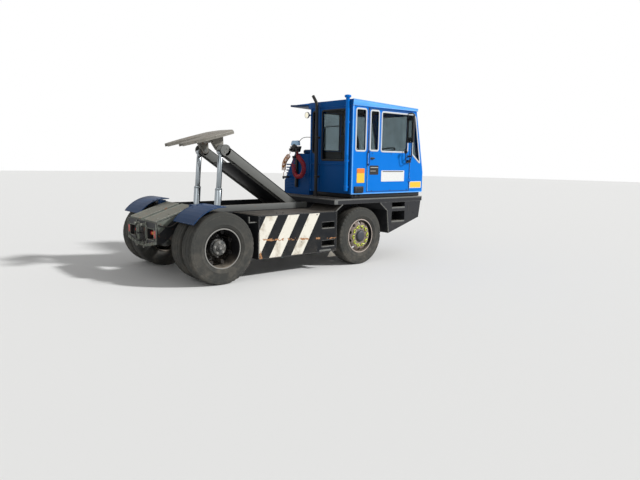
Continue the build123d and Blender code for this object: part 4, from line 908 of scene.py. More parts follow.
def bolt(mesh, place, out, size=0.009):
    """A hexagon bolt head on its washer."""
    out = Vector(out).normalized()
    rod(mesh, place, place + out * 0.0025, size * 1.5, 16)
    rod(mesh, place + out * 0.002, place + out * (size * 0.9), size, 6)


def rectangle(low, high, at_point):
    """The four corners of a rectangle in two measures, each made into a place by at_point."""
    return [at_point(*pair) for pair in ((low[0], low[1]), (high[0], low[1]), (high[0], high[1]),
                                         (low[0], high[1]))]


def pillow(mesh, place, half, crown, cuts=11, edge=5.0):
    """A stuffed pad: a rounded block whose top swells by crown."""
    made = bmesh.ops.create_cube(mesh, size=2.0)["verts"]
    edges = list({item for vert in made for item in vert.link_edges})
    bmesh.ops.subdivide_edges(mesh, edges=edges, cuts=cuts, use_grid_fill=True)
    for vert in [item for item in mesh.verts if not item.tag]:
        x, y, z = vert.co
        shrink = (abs(x) ** edge + abs(y) ** edge + abs(z) ** edge) ** (-1 / edge)
        swell = crown * (1 - x * x) * (1 - y * y) * max(0.0, z)
        vert.co = place @ Vector((x * shrink * half[0], y * shrink * half[1], z * shrink * half[2] + swell))
        vert.tag = True


# Lift arm, cylinders and fifth wheel


BOSS = at(0.530, 0, 1.950)
PIVOT = at(2.020, 0, 0.970)
FOOT = at(0.363, 0, 0.360)
ARM = framed(BOSS, PIVOT - BOSS)
ARM_LENGTH = (PIVOT - BOSS).length
HEAD = ARM @ Vector((-0.024, 0, -0.058))
PLATE_TILT = math.radians(15)
PLATE = framed(BOSS, (math.cos(PLATE_TILT), 0, math.sin(PLATE_TILT)))
ARM_INNER, ARM_OUTER, ARM_PLATE, ARM_HALF = 0.275, 0.425, 0.020, 0.075


def lift_beam():
    beam = bmesh.new()
    worn = bmesh.new()
    for sign in (1, -1):
        # The side plates, bosses, pins and bolts go into the lighter, lit grey.
        for low, high in ((ARM_OUTER - ARM_PLATE, ARM_OUTER), (ARM_INNER, ARM_INNER + ARM_PLATE)):
            low, high = sorted((sign * low, sign * high))
            box(worn, (0.03, low, -ARM_HALF), (ARM_LENGTH - 0.03, high, ARM_HALF), 0.004, place=ARM)
            for boss in (BOSS, PIVOT):
                rod(worn, boss + ACROSS * low, boss + ACROSS * high, 0.0895, 48)
                rod(worn, boss + ACROSS * (low - 0.0005), boss + ACROSS * (high + 0.0005), 0.05, 32)
        low, high = sorted((sign * ARM_INNER, sign * ARM_OUTER))
        box(beam, (0.04, low, ARM_HALF - ARM_PLATE), (ARM_LENGTH - 0.06, high, ARM_HALF), 0.004, place=ARM)
        rod(beam, PIVOT + ACROSS * low, PIVOT + ACROSS * high, 0.070, 48)
        rod(worn, BOSS + ACROSS * sign * 0.218, BOSS + ACROSS * sign * 0.300, 0.0348, 40)
        for along in (0.30, 0.62, 0.94, 1.26):
            box(beam, (along, low + 0.018, -ARM_HALF + 0.006), (along + 0.012, high - 0.018, ARM_HALF - 0.018),
                0.002, place=ARM)
        for place in ((-0.02, 0.03), (-0.02, -0.03)):
            spot = ARM @ Vector((place[0] + 0.02, sign * ARM_OUTER, place[1]))
            bolt(worn, spot, ACROSS * sign, 0.008)
    box(beam, (0.26, -ARM_INNER - 0.001, -ARM_HALF), (ARM_LENGTH - 0.223, ARM_INNER + 0.001, -ARM_HALF + 0.015),
        0.003, place=ARM)
    # The beam's top, bottom and pivot plates take the near-black of painted shade, and its sides take the lit grey:
    # one paint in a shaded and a lit copy.
    finished("lift_beam", beam, "lift_arm", "arm_grey", replaced=["lift_arm"])
    finished("lift_beam_wear", worn, "lift_arm", "arm_grey", "arm_worn")


def cylinder_eye(mesh, centre, sign):
    """An eye across the vehicle with its bush."""
    for half, radius in ((0.045, 0.0445), (0.0455, 0.031)):
        turned(mesh, [(radius * 0.3, -half), (radius - 0.002, -half), (radius, -half + 0.003),
                      (radius, half - 0.003), (radius - 0.002, half), (radius * 0.3, half)],
               centre + ACROSS * sign * 0.35, steps=40)


def cylinders(side, sign):
    line = (HEAD - FOOT).normalized()
    start = FOOT + ACROSS * sign * 0.35
    length = (HEAD - FOOT).length
    shapes = (("barrel", "barrel_grey", [
        (0.0, 0.032), (0.058, 0.032), (0.070, 0.040), (0.0715, 0.050), (0.0715, 0.470), (0.0745, 0.474),
        (0.0745, 0.500), (0.0715, 0.504), (0.0715, 0.508), (0.0745, 0.512), (0.0745, 0.532),
        (0.070, 0.540), (0.0578, 0.540), (0.0578, 0.0475), (0.0, 0.0475)]),
              ("sleeve", "rod_chrome", [
        (0.0428, 0.488), (0.0565, 0.488), (0.0568, 0.955), (0.0545, 0.958), (0.0545, 0.962), (0.0568, 0.965),
        (0.0568, 0.980), (0.0535, 0.992), (0.0428, 0.992), (0.0428, 0.488)]),
              ("rod", "rod_chrome", [
        (0.0, 0.943), (0.040, 0.943), (0.0418, 0.947), (0.0418, length - 0.085), (0.038, length - 0.080),
        (0.038, length - 0.030), (0.0, length - 0.030)]))
    for part, finish, profile in shapes:
        mesh = bmesh.new()
        turned(mesh, profile, start, line, 56, ACROSS)
        if part == "barrel":
            cylinder_eye(mesh, FOOT, sign)
            port = start + line * 0.12
            rod(mesh, port - Vector((0.066, 0, 0)), port - Vector((0.078, 0, 0)), 0.014, 16)
            rod(mesh, port - Vector((0.078, 0, 0)), port - Vector((0.096, 0, 0)), 0.011, 6)
        if part == "rod":
            cylinder_eye(mesh, HEAD, sign)
        body = f"cylinder_{part}_{side}"
        finished(f"lift_{part}_{side}", mesh, body, finish, replaced=[body])


def arc(middle, radius, first, last, steps):
    """Points in a plane on part of a circle, angles in degrees."""
    angles = [math.radians(first + (last - first) * step / steps) for step in range(steps + 1)]
    return [(middle[0] + radius * math.cos(angle), middle[1] + radius * math.sin(angle)) for angle in angles]


def coupling_plate():
    top, under, deep = 0.262, 0.244, 0.214
    half = [(0.330, 0.150), (0.322, 0.225), (0.270, 0.320), (0.240, 0.385), (0.205, 0.430), (0.060, 0.450),
            (-0.120, 0.446), (-0.300, 0.430), (-0.450, 0.386), (-0.585, 0.340), (-0.630, 0.322),
            (-0.645, 0.300)]
    inner = [(0.308, 0.150), (0.302, 0.216), (0.252, 0.304), (0.222, 0.368), (0.196, 0.408), (0.060, 0.428),
             (-0.120, 0.424), (-0.296, 0.409), (-0.442, 0.365), (-0.572, 0.320), (-0.612, 0.302),
             (-0.623, 0.290)]
    slot = [(-0.645, 0.188), (-0.160, 0.045)] + arc((0, 0), 0.0262, 90, 0, 8)
    walls = [(-0.645, 0.212), (-0.166, 0.070), (-0.02, 0.052)]
    mesh = bmesh.new()
    outline = half + slot + [(x, -y) for x, y in (half + slot)[::-1]]
    seen = [point for index, point in enumerate(outline) if point != outline[index - 1]]
    prism(mesh, [(x, y, top) for x, y in seen], (0, 0, under - top), 0.004, place=PLATE)
    for sign in (1, -1):
        for (a, b), (c, d) in zip(zip(half, half[1:]), zip(inner, inner[1:])):
            prism(mesh, [(a[0], sign * a[1], under), (b[0], sign * b[1], under), (d[0], sign * d[1], under),
                         (c[0], sign * c[1], under)], (0, 0, deep - under), 0.0, place=PLATE)
        for a, b, c, d in zip(slot, slot[1:3], walls, walls[1:]):
            prism(mesh, [(a[0], sign * a[1], under), (b[0], sign * b[1], under), (d[0], sign * d[1], under),
                         (c[0], sign * c[1], under)], (0, 0, deep - under), 0.0, place=PLATE)
        lug = [(-0.150, under), (0.110, under), (0.057, 0)] + arc((0, 0), 0.0575, 0, -180, 20)[1:]
        low, high = sorted((sign * 0.225, sign * 0.265))
        prism(mesh, [(x, low, z) for x, z in lug], (0, high - low, 0), 0.003, place=PLATE)
        rod(mesh, PLATE @ Vector((0, sign * 0.2655, 0)), PLATE @ Vector((0, sign * 0.271, 0)), 0.05, 40)
        low, high = sorted((sign * 0.205, sign * 0.265))
        prism(mesh, [(-0.152, low, under), (-0.136, low, under), (-0.050, low, 0.018), (-0.066, low, 0.018)],
              (0, high - low, 0), 0.002, place=PLATE)
        box(mesh, (-0.150, min(sign * 0.052, sign * 0.226), 0.152),
            (-0.130, max(sign * 0.052, sign * 0.226), under), 0.002, place=PLATE)
        for x in (-0.45, -0.30, 0.16):
            low, high = sorted((sign * (0.15 if x < -0.4 else 0.1), sign * 0.40))
            box(mesh, (x, low, 0.217), (x + 0.014, high, under), 0.002, place=PLATE)
    box(mesh, (0.308, -0.15, deep), (0.330, 0.15, under), 0.002, place=PLATE)
    box(mesh, (0.090, -0.226, 0.152), (0.110, 0.226, under), 0.002, place=PLATE)
    jaw = arc((0, 0), 0.092, -140, 140, 28) + arc((0, 0), 0.030, 140, -140, 28)
    prism(mesh, [(x, y, under) for x, y in jaw], (0, 0, -0.043), 0.003, place=PLATE)
    finished("coupling_plate", mesh, "fifth_wheel", "plate_steel", replaced=["fifth_wheel"])
    release = bmesh.new()
    line = [(0.05, -0.07, 0.222), (0.07, -0.16, 0.222), (0.04, -0.30, 0.224), (0.03, -0.425, 0.224),
            (0.01, -0.437, 0.224), (-0.01, -0.425, 0.224)]
    swept(release, [PLATE @ Vector(point) for point in line], 0.008, 3, bent=True)
    coil = [PLATE @ Vector((0.07 + 0.012 * math.cos(turn * 0.785), 0.08 + turn * 0.0022,
                            0.226 + 0.012 * math.sin(turn * 0.785))) for turn in range(80)]
    swept(release, coil, 0.0022, 1)
    finished("coupling_release", release, "fifth_wheel", "plate_steel", "cast_dark")


# Cab


CAB_SIDE, CAB_REAR = -1.200, 2.530
LEFT_SIDE = -0.070
SCREEN_SLOPE = -0.24 / 1.125
UP = Vector((0, 0, 1))
FORWARD = Vector((1, 0, 0))


def screen_at(y, z):
    """A place on the outer face of the raked front."""
    return at(4.400 + (z - 1.620) * SCREEN_SLOPE, y, z)


def window_rubbers():
    def on_right(x, z):
        return at(x, CAB_SIDE, z)

    def on_left(x, z):
        return at(x, LEFT_SIDE, z)

    def on_rear(y, z):
        return at(CAB_REAR, y, z)

    corner = ((4.075, 1.960), (4.309, 1.790), (4.133, 2.660), (4.075, 2.660))
    screen_out = Vector((1, 0, -SCREEN_SLOPE)).normalized()
    fixed = [(rectangle((2.610, 1.990), (2.850, 2.700), on_right), -ACROSS),
             ([on_right(*pair) for pair in corner], -ACROSS), ([on_left(*pair) for pair in corner], ACROSS),
             (rectangle((2.640, 1.990), (3.250, 2.690), on_left), ACROSS),
             (rectangle((3.330, 1.990), (3.945, 2.690), on_left), ACROSS),
             (rectangle((-1.100, 1.700), (-0.170, 2.680), screen_at), screen_out)]
    rear = [(rectangle((-1.010, 1.820), (-0.400, 2.690), on_rear), -FORWARD),
            (rectangle((-0.270, 1.950), (-0.140, 2.690), on_rear), -FORWARD)]
    doors = [(rectangle((2.955, 2.000), (3.165, 2.690), on_right), -ACROSS),
             (rectangle((3.235, 1.990), (3.945, 2.680), on_right), -ACROSS)]
    for name, body, finish, loops in (("window_rubbers", "chassis", "window_rubber", fixed),
                                      ("rear_rubbers", "chassis", "rubber_black", rear),
                                      ("door_rubbers", "cab_door", "window_rubber", doors)):
        mesh = bmesh.new()
        for corners, out in loops:
            made = swept(mesh, softened(corners, 0.040), 0.0155, 2, closed=True)
            flat = Matrix.Translation(corners[0]) @ Matrix.Scale(0.5, 4, out) @ Matrix.Translation(-corners[0])
            bmesh.ops.transform(mesh, matrix=flat, verts=made)
        finished(name, mesh, body, "rubber_black", finish)


def side_plate(mesh, x, z, y=CAB_SIDE, thick=0.004, soft=0.012):
    """A thin plate with round corners on the right side."""
    corners = rectangle((x[0], z[0]), (x[1], z[1]), lambda along, height: at(along, y, height))
    prism(mesh, softened(corners, soft, 3), (0, -thick, 0), 0.001, 1)


def side_plates():
    for name, body, finish, plates in (
            ("door_plate", "cab_door", "plate_white", (((3.256, 3.872), (1.456, 1.654), CAB_SIDE),)),
            ("door_badge", "cab_door", "plate_black", (((2.960, 3.180), (1.580, 1.740), CAB_SIDE),
                                                       ((3.290, 3.840), (1.630, 1.642), CAB_SIDE - 0.004))),
            ("door_badge_lines", "cab_door", "zinc", (((2.975, 3.165), (1.700, 1.712), CAB_SIDE - 0.004),
                                                      ((2.975, 3.110), (1.640, 1.650), CAB_SIDE - 0.004))),
            ("side_sticker", "chassis", "plate_yellow", (((2.650, 2.836), (1.440, 1.690), CAB_SIDE),
                                                         ((4.045, 4.350), (1.337, 1.438), CAB_SIDE - 0.003))),
            ("side_sticker_top", "chassis", "plate_orange", (((2.655, 2.831), (1.610, 1.685),
                                                              CAB_SIDE - 0.004),)),
            ("reflector_frame", "chassis", "plate_white", (((4.032, 4.363), (1.325, 1.450), CAB_SIDE),))):
        mesh = bmesh.new()
        for x, z, y in plates:
            side_plate(mesh, x, z, y, soft=0.004 if z[1] - z[0] < 0.02 else 0.012)
        finished(name, mesh, body, "mirror_black", finish)


def cab_trim():
    # Strips along the roof edge, the front corner, the cab's lower edge and the door's edge lines, in the light blue
    # of a painted highlight.
    edge_highlight = bmesh.new()
    swept(edge_highlight, [at(2.517, -1.218, 2.846), at(4.172, -1.218, 2.788)], 0.009, 2)
    swept(edge_highlight, [at(2.515, -1.210, 2.752), at(4.172, -1.217, 2.752)], 0.009, 2)
    swept(edge_highlight, [screen_at(-1.196, 2.73), screen_at(-1.196, 1.62), at(4.400, -1.196, 1.262)], 0.007, 2)
    strip(edge_highlight, (2.526, 4.398), (-1.203, -1.190), (1.244, 1.262), 0.003)
    for x in (2.90, 4.022):
        strip(edge_highlight, (x - 0.002, x + 0.002), (-1.2035, -1.200), (1.29, 2.70), 0.001, 1)
    finished("cab_edges", edge_highlight, "chassis", "cab_blue", "cab_edge")
    # The rear wall's ribs and the roof block take the darker blue of painted shade.
    blue = bmesh.new()
    for y in (-1.155, -0.335, -0.105):
        strip(blue, (2.517, 2.532), (y - 0.014, y + 0.014), (1.28, 2.74), 0.004)
    strip(blue, (2.517, 2.532), (-1.16, -0.11), (1.735, 1.765), 0.004)
    strip(blue, (2.95, 3.45), (-0.82, -0.38), (2.80, 2.868), 0.02, 3)
    strip(blue, (2.511, 2.516), (-1.205, -0.03), (2.747, 2.845), 0.001)
    finished("cab_ribs", blue, "chassis", "cab_blue", "cab_rear")
    # The roof's fascia and the rear corner strip take the light blue of a painted highlight.
    fascia = [at(2.512, -1.2150, 2.750), at(4.176, -1.2150, 2.750), at(4.176, -1.2150, 2.784),
              at(2.522, -1.2150, 2.849)]
    edge = bmesh.new()
    prism(edge, fascia, (0, -0.005, 0), 0.002)
    strip(edge, (2.526, 2.552), (-1.2035, -1.1985), (1.265, 2.745), 0.002)
    finished("roof_fascia", edge, "chassis", "cab_blue", "cab_edge")
    # The canopy, and the block built with it, take the dark navy of the mudguards in place of the cab blue: painted
    # shade.
    canopy = bmesh.new()
    prism(canopy, [at(2.516, -0.052, 2.785), at(3.300, -0.052, 2.760), at(3.165, 0.534, 2.788),
                   at(2.516, 0.534, 2.812)], (0, 0, 0.036), 0.010, 3)
    strip(canopy, (2.60, 2.86), (0.02, 0.24), (1.928, 2.010), 0.035, 4)
    finished("canopy_cover", canopy, "chassis", "cab_blue", "mudguard_blue")
    lining = bmesh.new()
    strip(lining, (2.572, 4.145), (-1.157, -0.113), (2.732, 2.744))
    for x in ((2.572, 2.636), (3.254, 3.326), (3.950, 4.060)):
        strip(lining, x, (-0.126, -0.112), (1.95, 2.740))
    strip(lining, (2.572, 4.355), (-0.126, -0.112), (1.292, 1.980))
    strip(lining, (2.572, 4.100), (-0.124, -0.111), (2.694, 2.740))
    for y in ((-1.157, -1.014), (-0.396, -0.274), (-0.136, -0.112)):
        strip(lining, (2.571, 2.584), y, (1.292, 2.740))
    strip(lining, (2.571, 2.584), (-1.157, -0.112), (1.292, 1.815))
    strip(lining, (2.860, 2.892), (-1.160, -1.146), (1.30, 2.72))
    finished("cab_lining", lining, "chassis", "cab_inner")
    under = bmesh.new()
    for y in ((-1.165, -1.125), (-0.150, -0.110)):
        strip(under, (2.58, 4.36), y, (1.172, 1.249), 0.006)
    for x in (2.60, 3.42, 4.28):
        strip(under, (x, x + 0.06), (-1.12, -0.15), (1.180, 1.249), 0.006)
    finished("cab_bearers", under, "chassis", "frame_black")
    door = bmesh.new()
    swept(door, [at(2.905, -1.203, 1.285), at(2.905, -1.203, 2.712), at(4.008, -1.203, 2.712),
                 at(4.008, -1.203, 1.285)], 0.005, 1, closed=True)
    strip(door, (2.902, 2.924), (-1.204, -1.199), (1.985, 2.725), 0.002)
    for z in (1.755, 1.975):
        rod(door, at(2.917, -1.200, z), at(2.917, -1.208, z), 0.02, 20)
    finished("door_seal", door, "cab_door", "rubber_black")
    # The door's rear edge below the window takes the light blue of a painted highlight.
    rim = bmesh.new()
    strip(rim, (2.910, 2.922), (-1.204, -1.199), (1.290, 1.975), 0.002)
    finished("door_edge", rim, "cab_door", "cab_blue", "cab_edge")
    lock = bmesh.new()
    strip(lock, (2.945, 3.045), (-1.216, -1.200), (1.845, 1.885), 0.006, 3)
    strip(lock, (2.960, 3.060), (-1.232, -1.220), (1.856, 1.876), 0.005, 3)
    rod(lock, at(3.030, -1.216, 1.866), at(3.030, -1.226, 1.866), 0.011, 24)
    for x, z in ((3.02, 1.30), (3.50, 1.30), (3.95, 1.30), (3.02, 1.95), (3.50, 1.95)):
        bolt(lock, at(x, CAB_SIDE, z), -ACROSS, 0.006)
    finished("door_lock", lock, "cab_door", "mirror_black")
    panel = bmesh.new()
    strip(panel, (2.915, 4.005), (-1.160, -1.150), (1.30, 1.97), 0.004)
    for x in ((2.905, 2.952), (3.168, 3.232), (3.950, 4.008)):
        strip(panel, x, (-1.160, -1.152), (1.97, 2.71), 0.003)
    finished("door_lining", panel, "cab_door", "cab_inner")
    dark = bmesh.new()
    strip(dark, (2.596, 2.806), (-1.222, -1.160), (1.270, 1.378), 0.006, 3)
    for x in (2.62, 2.67, 2.72, 2.77):
        strip(dark, (x, x + 0.012), (-1.230, -1.220), (1.285, 1.360), 0.003)
    for x in (2.64, 2.76):
        rod(dark, at(x, -1.19, 1.272), at(x, -1.19, 1.205), 0.012, 14)
    finished("corner_box", dark, "chassis", "mirror_black", "pipe_black")
    wiper = bmesh.new()
    foot = screen_at(-0.62, 1.69) + FORWARD * 0.012
    tip = screen_at(-0.92, 2.28) + FORWARD * 0.030
    rod(wiper, foot - FORWARD * 0.01, foot + FORWARD * 0.016, 0.022, 24)
    swept(wiper, [foot, foot.lerp(tip, 0.5) + FORWARD * 0.012, tip], 0.006, 2, bent=True)
    swept(wiper, [screen_at(-0.86, 1.98) + FORWARD * 0.016, screen_at(-0.98, 2.56) + FORWARD * 0.016], 0.007, 2)
    finished("wiper", wiper, "chassis", "mirror_black")


def pipes():
    intake = bmesh.new()
    x, y = 2.470, -1.125
    turned(intake, [(0.020, 1.300), (0.033, 1.302), (0.033, 1.90), (0.0345, 1.903), (0.0345, 1.930),
                    (0.033, 1.933), (0.033, 2.862), (0.036, 2.868), (0.054, 2.874), (0.0565, 2.882),
                    (0.0565, 2.900), (0.052, 2.909), (0.030, 2.916), (0.0, 2.917)], at(x, y, 0), UP, 48)
    for z in (1.354, 1.80, 2.45):
        strip(intake, (2.49, 2.532), (y - 0.022, y + 0.022), (z, z + 0.035), 0.003)
        turned(intake, [(0.033, z), (0.0365, z), (0.0365, z + 0.035), (0.033, z + 0.035)], at(x, y, 0), UP, 40)
    finished("intake_stack", intake, "chassis", "pipe_black", "cab_blue", ["intake_pipe"])
    stack = bmesh.new()
    x, y = 2.455, -0.335
    swept(stack, [at(x, y, 1.165), at(x, y, 2.0), at(x, y, 2.62), at(x, y, 2.80), at(x - 0.004, y + 0.035, 2.87),
                  at(x - 0.012, y + 0.100, 2.955)], 0.027, 8, bent=True)
    turned(stack, [(0.026, 1.60), (0.0295, 1.61), (0.031, 1.66), (0.031, 2.32), (0.0295, 2.37),
                   (0.026, 2.38)], at(x, y, 0), UP, 40)
    for z in (1.500, 2.200):
        strip(stack, (2.48, 2.532), (y - 0.018, y + 0.018), (z, z + 0.038), 0.003)
        turned(stack, [(0.026, z), (0.034, z), (0.034, z + 0.038), (0.026, z + 0.038)], at(x, y, 0), UP, 40)
    turned(stack, [(0.026, 1.166), (0.052, 1.166), (0.052, 1.180), (0.026, 1.182)], at(x, y, 0), UP, 40)
    for angle in range(0, 360, 60):
        spot = at(x + 0.043 * math.cos(math.radians(angle)), y + 0.043 * math.sin(math.radians(angle)), 1.180)
        bolt(stack, spot, UP, 0.005)
    finished("exhaust_stack", stack, "chassis", "exhaust_steel", replaced=["exhaust"])


def mirror_head(case, face, x, y, low, high):
    half = 0.073
    middle = (low + high) / 2
    corners = rectangle((y - half, low), (y + half, high), lambda across, z: at(x - 0.016, across, z))
    prism(case, softened(corners, 0.030, 5), (0.040, 0, 0), 0.009, 3)
    rim = swept(case, softened(corners, 0.030, 5), 0.007, 2, closed=True)
    bmesh.ops.translate(case, verts=rim, vec=(0.001, 0, 0))
    inner = rectangle((y - half + 0.010, low + 0.010), (y + half - 0.010, high - 0.010),
                      lambda across, z: at(x - 0.0165, across, z))
    prism(face, softened(inner, 0.022, 5), (-0.002, 0, 0))
    for z in (middle - 0.17, middle + 0.17):
        strip(case, (x + 0.02, x + 0.058), (y - 0.014, y + 0.014), (z - 0.016, z + 0.016), 0.004)


def mirrors():
    right, right_face = bmesh.new(), bmesh.new()
    post_x, reach = 3.910, -1.330
    line = [at(3.966, -1.206, 1.92), at(3.930, -1.290, 1.915), at(post_x, reach, 1.925), at(post_x, reach, 2.05),
            at(post_x, reach, 2.55), at(post_x, reach, 2.690), at(3.930, -1.290, 2.706), at(3.966, -1.206, 2.700)]
    swept(right, line, 0.011, 3, bent=True)
    for z in (1.92, 2.70):
        strip(right, (3.950, 3.990), (-1.214, -1.200), (z - 0.022, z + 0.016), 0.004)
        bolt(right, at(3.982, -1.214, z), -ACROSS, 0.006)
    mirror_head(right, right_face, post_x - 0.045, reach, 2.165, 2.685)
    strip(right, (3.930, 4.005), (-1.245, -1.200), (1.800, 1.850), 0.008)
    swept(right, [at(3.95, -1.230, 1.83), at(3.87, -1.270, 1.785), at(3.80, -1.290, 1.82),
                  at(3.795, -1.292, 1.97)], 0.008, 3, bent=True)
    swept(right, [at(3.965, -1.238, 1.83), at(3.93, -1.30, 1.84), at(post_x, reach, 1.93)], 0.010, 3, bent=True)
    turned(right, [(0.0, -0.018), (0.030, -0.014), (0.036, 0.0), (0.030, 0.014), (0.0, 0.016)],
           at(3.795, -1.292, 1.995), FORWARD, 28, ACROSS)
    finished("side_mirror_right", right, "cab_door", "mirror_black", replaced=["mirror_right"])
    finished("mirror_face_right", right_face, "cab_door", "mirror_black", "mirror_face")
    left, left_face = bmesh.new(), bmesh.new()
    x, y, reach = 4.130, 0.390, 1.330
    line = [at(x, y, 1.935), at(x, y, 2.30), at(x, y, 2.535), at(x - 0.01, y + 0.08, 2.545),
            at(x - 0.05, reach - 0.08, 2.545), at(x - 0.06, reach, 2.530), at(x - 0.06, reach, 2.30),
            at(x - 0.06, reach, 2.030)]
    swept(left, line, 0.0115, 3, bent=True)
    turned(left, [(0.0, 1.930), (0.040, 1.930), (0.040, 1.938), (0.020, 1.944), (0.018, 1.965), (0.0, 1.966)],
           at(x, y, 0), UP, 32)
    mirror_head(left, left_face, x - 0.105, reach, 2.045, 2.525)
    finished("side_mirror_left", left, "chassis", "mirror_black", replaced=["mirror_left"])
    finished("mirror_face_left", left_face, "chassis", "mirror_black", "mirror_face")


def seat_pads():
    x, y, low = 3.330, -0.635, 1.670
    base = bmesh.new()
    strip(base, (3.16, 3.50), (y - 0.165, y + 0.165), (1.290, 1.325), 0.006)
    for step in range(7):
        z = 1.33 + step * 0.043
        inset = 0.012 * (step % 2)
        strip(base, (3.17 + inset, 3.49 - inset), (y - 0.155 + inset, y + 0.155 - inset), (z, z + 0.040), 0.014, 3)
    strip(base, (3.09, 3.56), (y - 0.215, y + 0.215), (1.635, 1.668), 0.008)
    strip(base, (2.945, 3.10), (y - 0.085, y + 0.085), (1.625, 1.665), 0.006)
    for sign in (1, -1):
        swept(base, [at(3.04, y + sign * 0.235, 1.86), at(3.28, y + sign * 0.235, 1.89)], 0.019, 4)
    finished("seat_base", base, "chassis", "seat_fabric", "cab_inner", ["seat"])
    cushion = bmesh.new()
    pillow(cushion, framed(at(3.343, y, 1.722), (1, 0, 0.03)), (0.243, 0.236, 0.052), 0.022)
    finished("seat_cushion", cushion, "chassis", "seat_fabric")
    back = bmesh.new()
    pillow(back, framed(at(3.005, y, 2.000), (-0.105, 0, 1), (1, 0, 0.105)), (0.305, 0.226, 0.046), 0.022)
    finished("seat_back", back, "chassis", "seat_fabric")


def controls():
    y = -0.635
    top, foot = at(3.910, y, 2.010), at(4.140, y, 1.320)
    line = (top - foot).normalized()
    mesh = bmesh.new()
    rod(mesh, foot, top - line * 0.02, 0.026, 32)
    turned(mesh, [(0.036, -0.28), (0.048, -0.26), (0.050, -0.06), (0.036, -0.04)], top, line, 32, ACROSS)
    ring = [top + (ACROSS * math.cos(turn) + line.cross(ACROSS) * math.sin(turn)) * 0.212
            for turn in (step * math.pi / 40 for step in range(80))]
    swept(mesh, ring, 0.0125, 4, closed=True)
    turned(mesh, [(0.0, 0.016), (0.034, 0.014), (0.046, 0.004), (0.046, -0.012), (0.0, -0.016)], top, line,
           32, ACROSS)
    for angle in (90, 210, 330):
        turn = math.radians(angle)
        tip = top + (ACROSS * math.cos(turn) + line.cross(ACROSS) * math.sin(turn)) * 0.208
        rod(mesh, top - line * 0.004, tip, 0.010, 12, 0.007)
    for sign in (1, -1):
        swept(mesh, [top - line * 0.11, top - line * 0.10 + ACROSS * sign * 0.14], 0.005, 2)
    strip(mesh, (4.06, 4.20), (y - 0.07, y + 0.07), (1.290, 1.345), 0.008)
    dash = [at(4.190, 0, 1.560), at(4.352, 0, 1.560), at(4.352, 0, 1.620), at(4.338, 0, 1.690), at(4.230, 0, 1.690)]
    prism(mesh, [point - ACROSS * 1.155 for point in dash], (0, 1.04, 0), 0.01, 3)
    for pedal in (-0.74, -0.53):
        strip(mesh, (4.10, 4.18), (pedal - 0.035, pedal + 0.035), (1.335, 1.350), 0.004)
    for gauge in (-0.80, -0.70, -0.60, -0.50):
        rod(mesh, at(4.200, gauge, 1.632), at(4.190, gauge, 1.640), 0.034, 28)
    finished("steering_and_dash", mesh, "chassis", "cab_inner", None, ["driver_controls"])


# Frame, boxes, deck and rear end


def frame_lit_faces_and_deck():
    mesh = bmesh.new()
    # Lighter grey strips on the rails' outer and top faces: painted sunlight, with real edge wear and rust.
    for sign in (1, -1):
        strip(mesh, (0.10, 2.14), (sign * 0.468, sign * 0.473), (0.984, 1.0795), 0.002)
        strip(mesh, (0.02, 2.14), (sign * 0.441, sign * 0.4725), (1.0790, 1.0835), 0.002)
        strip(mesh, (-0.04, 0.16), (sign * 0.440, sign * 0.500), (1.02, 1.084), 0.004)
    finished("rail_faces", mesh, "chassis", "frame_black", "worn_rail")
    deck = bmesh.new()
    for sign in (1, -1):
        strip(deck, (2.152, 4.405), (sign * 1.190, sign * 1.2035), (1.143, 1.1675), 0.003)
        strip(deck, (2.150, 2.230), (sign * 1.190, sign * 1.2035), (1.085, 1.150), 0.003)
        swept(deck, [at(2.20, sign * 1.196, 0.975), at(2.345, sign * 1.196, 1.078)], 0.010, 2)
        swept(deck, [at(3.262, sign * 1.196, 1.072), at(3.452, sign * 1.196, 0.926), at(3.502, sign * 1.196, 0.512)],
              0.009, 2)
        for z in (0.715, 0.970):
            strip(deck, (3.572, 3.928), (sign * 1.176, sign * 1.2035), (z - 0.016, z + 0.012), 0.003)
            for step in range(9):
                x = 3.59 + step * 0.038
                strip(deck, (x, x + 0.014), (sign * 0.945, sign * 1.185), (z, z + 0.007), 0.002, 1)
    strip(deck, (2.148, 2.162), (-1.198, 1.198), (1.150, 1.1665), 0.003)
    finished("deck_edges", deck, "chassis", "deck_black", "worn_rail")
    # Each slot is a flat black plate on the bumper's side: painted shade in place of the opening.
    slots = bmesh.new()
    for sign in (1, -1):
        loop = rectangle((4.008, 0.885), (4.052, 1.010), lambda x, z: at(x, sign * 1.2, z))
        prism(slots, softened(loop, 0.010, 3), (0, sign * 0.0015, 0))
        for x, z in ((3.55, 1.05), (4.25, 1.05), (4.18, 0.86), (3.56, 0.56)):
            bolt(slots, at(x, sign * 1.2, z), ACROSS * sign, 0.007)
    finished("bumper_slots", slots, "chassis", "deck_black", "plate_black")
    tread = bmesh.new()
    for row in range(18):
        for column in range(5):
            spot = at(2.20 + row * 0.019 * 1.0, -1.15 + column * 0.24 + (row % 2) * 0.12, 1.1652)
            box(tread, spot - Vector((0.004, 0.03, 0.001)), spot + Vector((0.004, 0.03, 0.003)), 0.001, 1)
    finished("deck_tread", tread, "chassis", "deck_black")


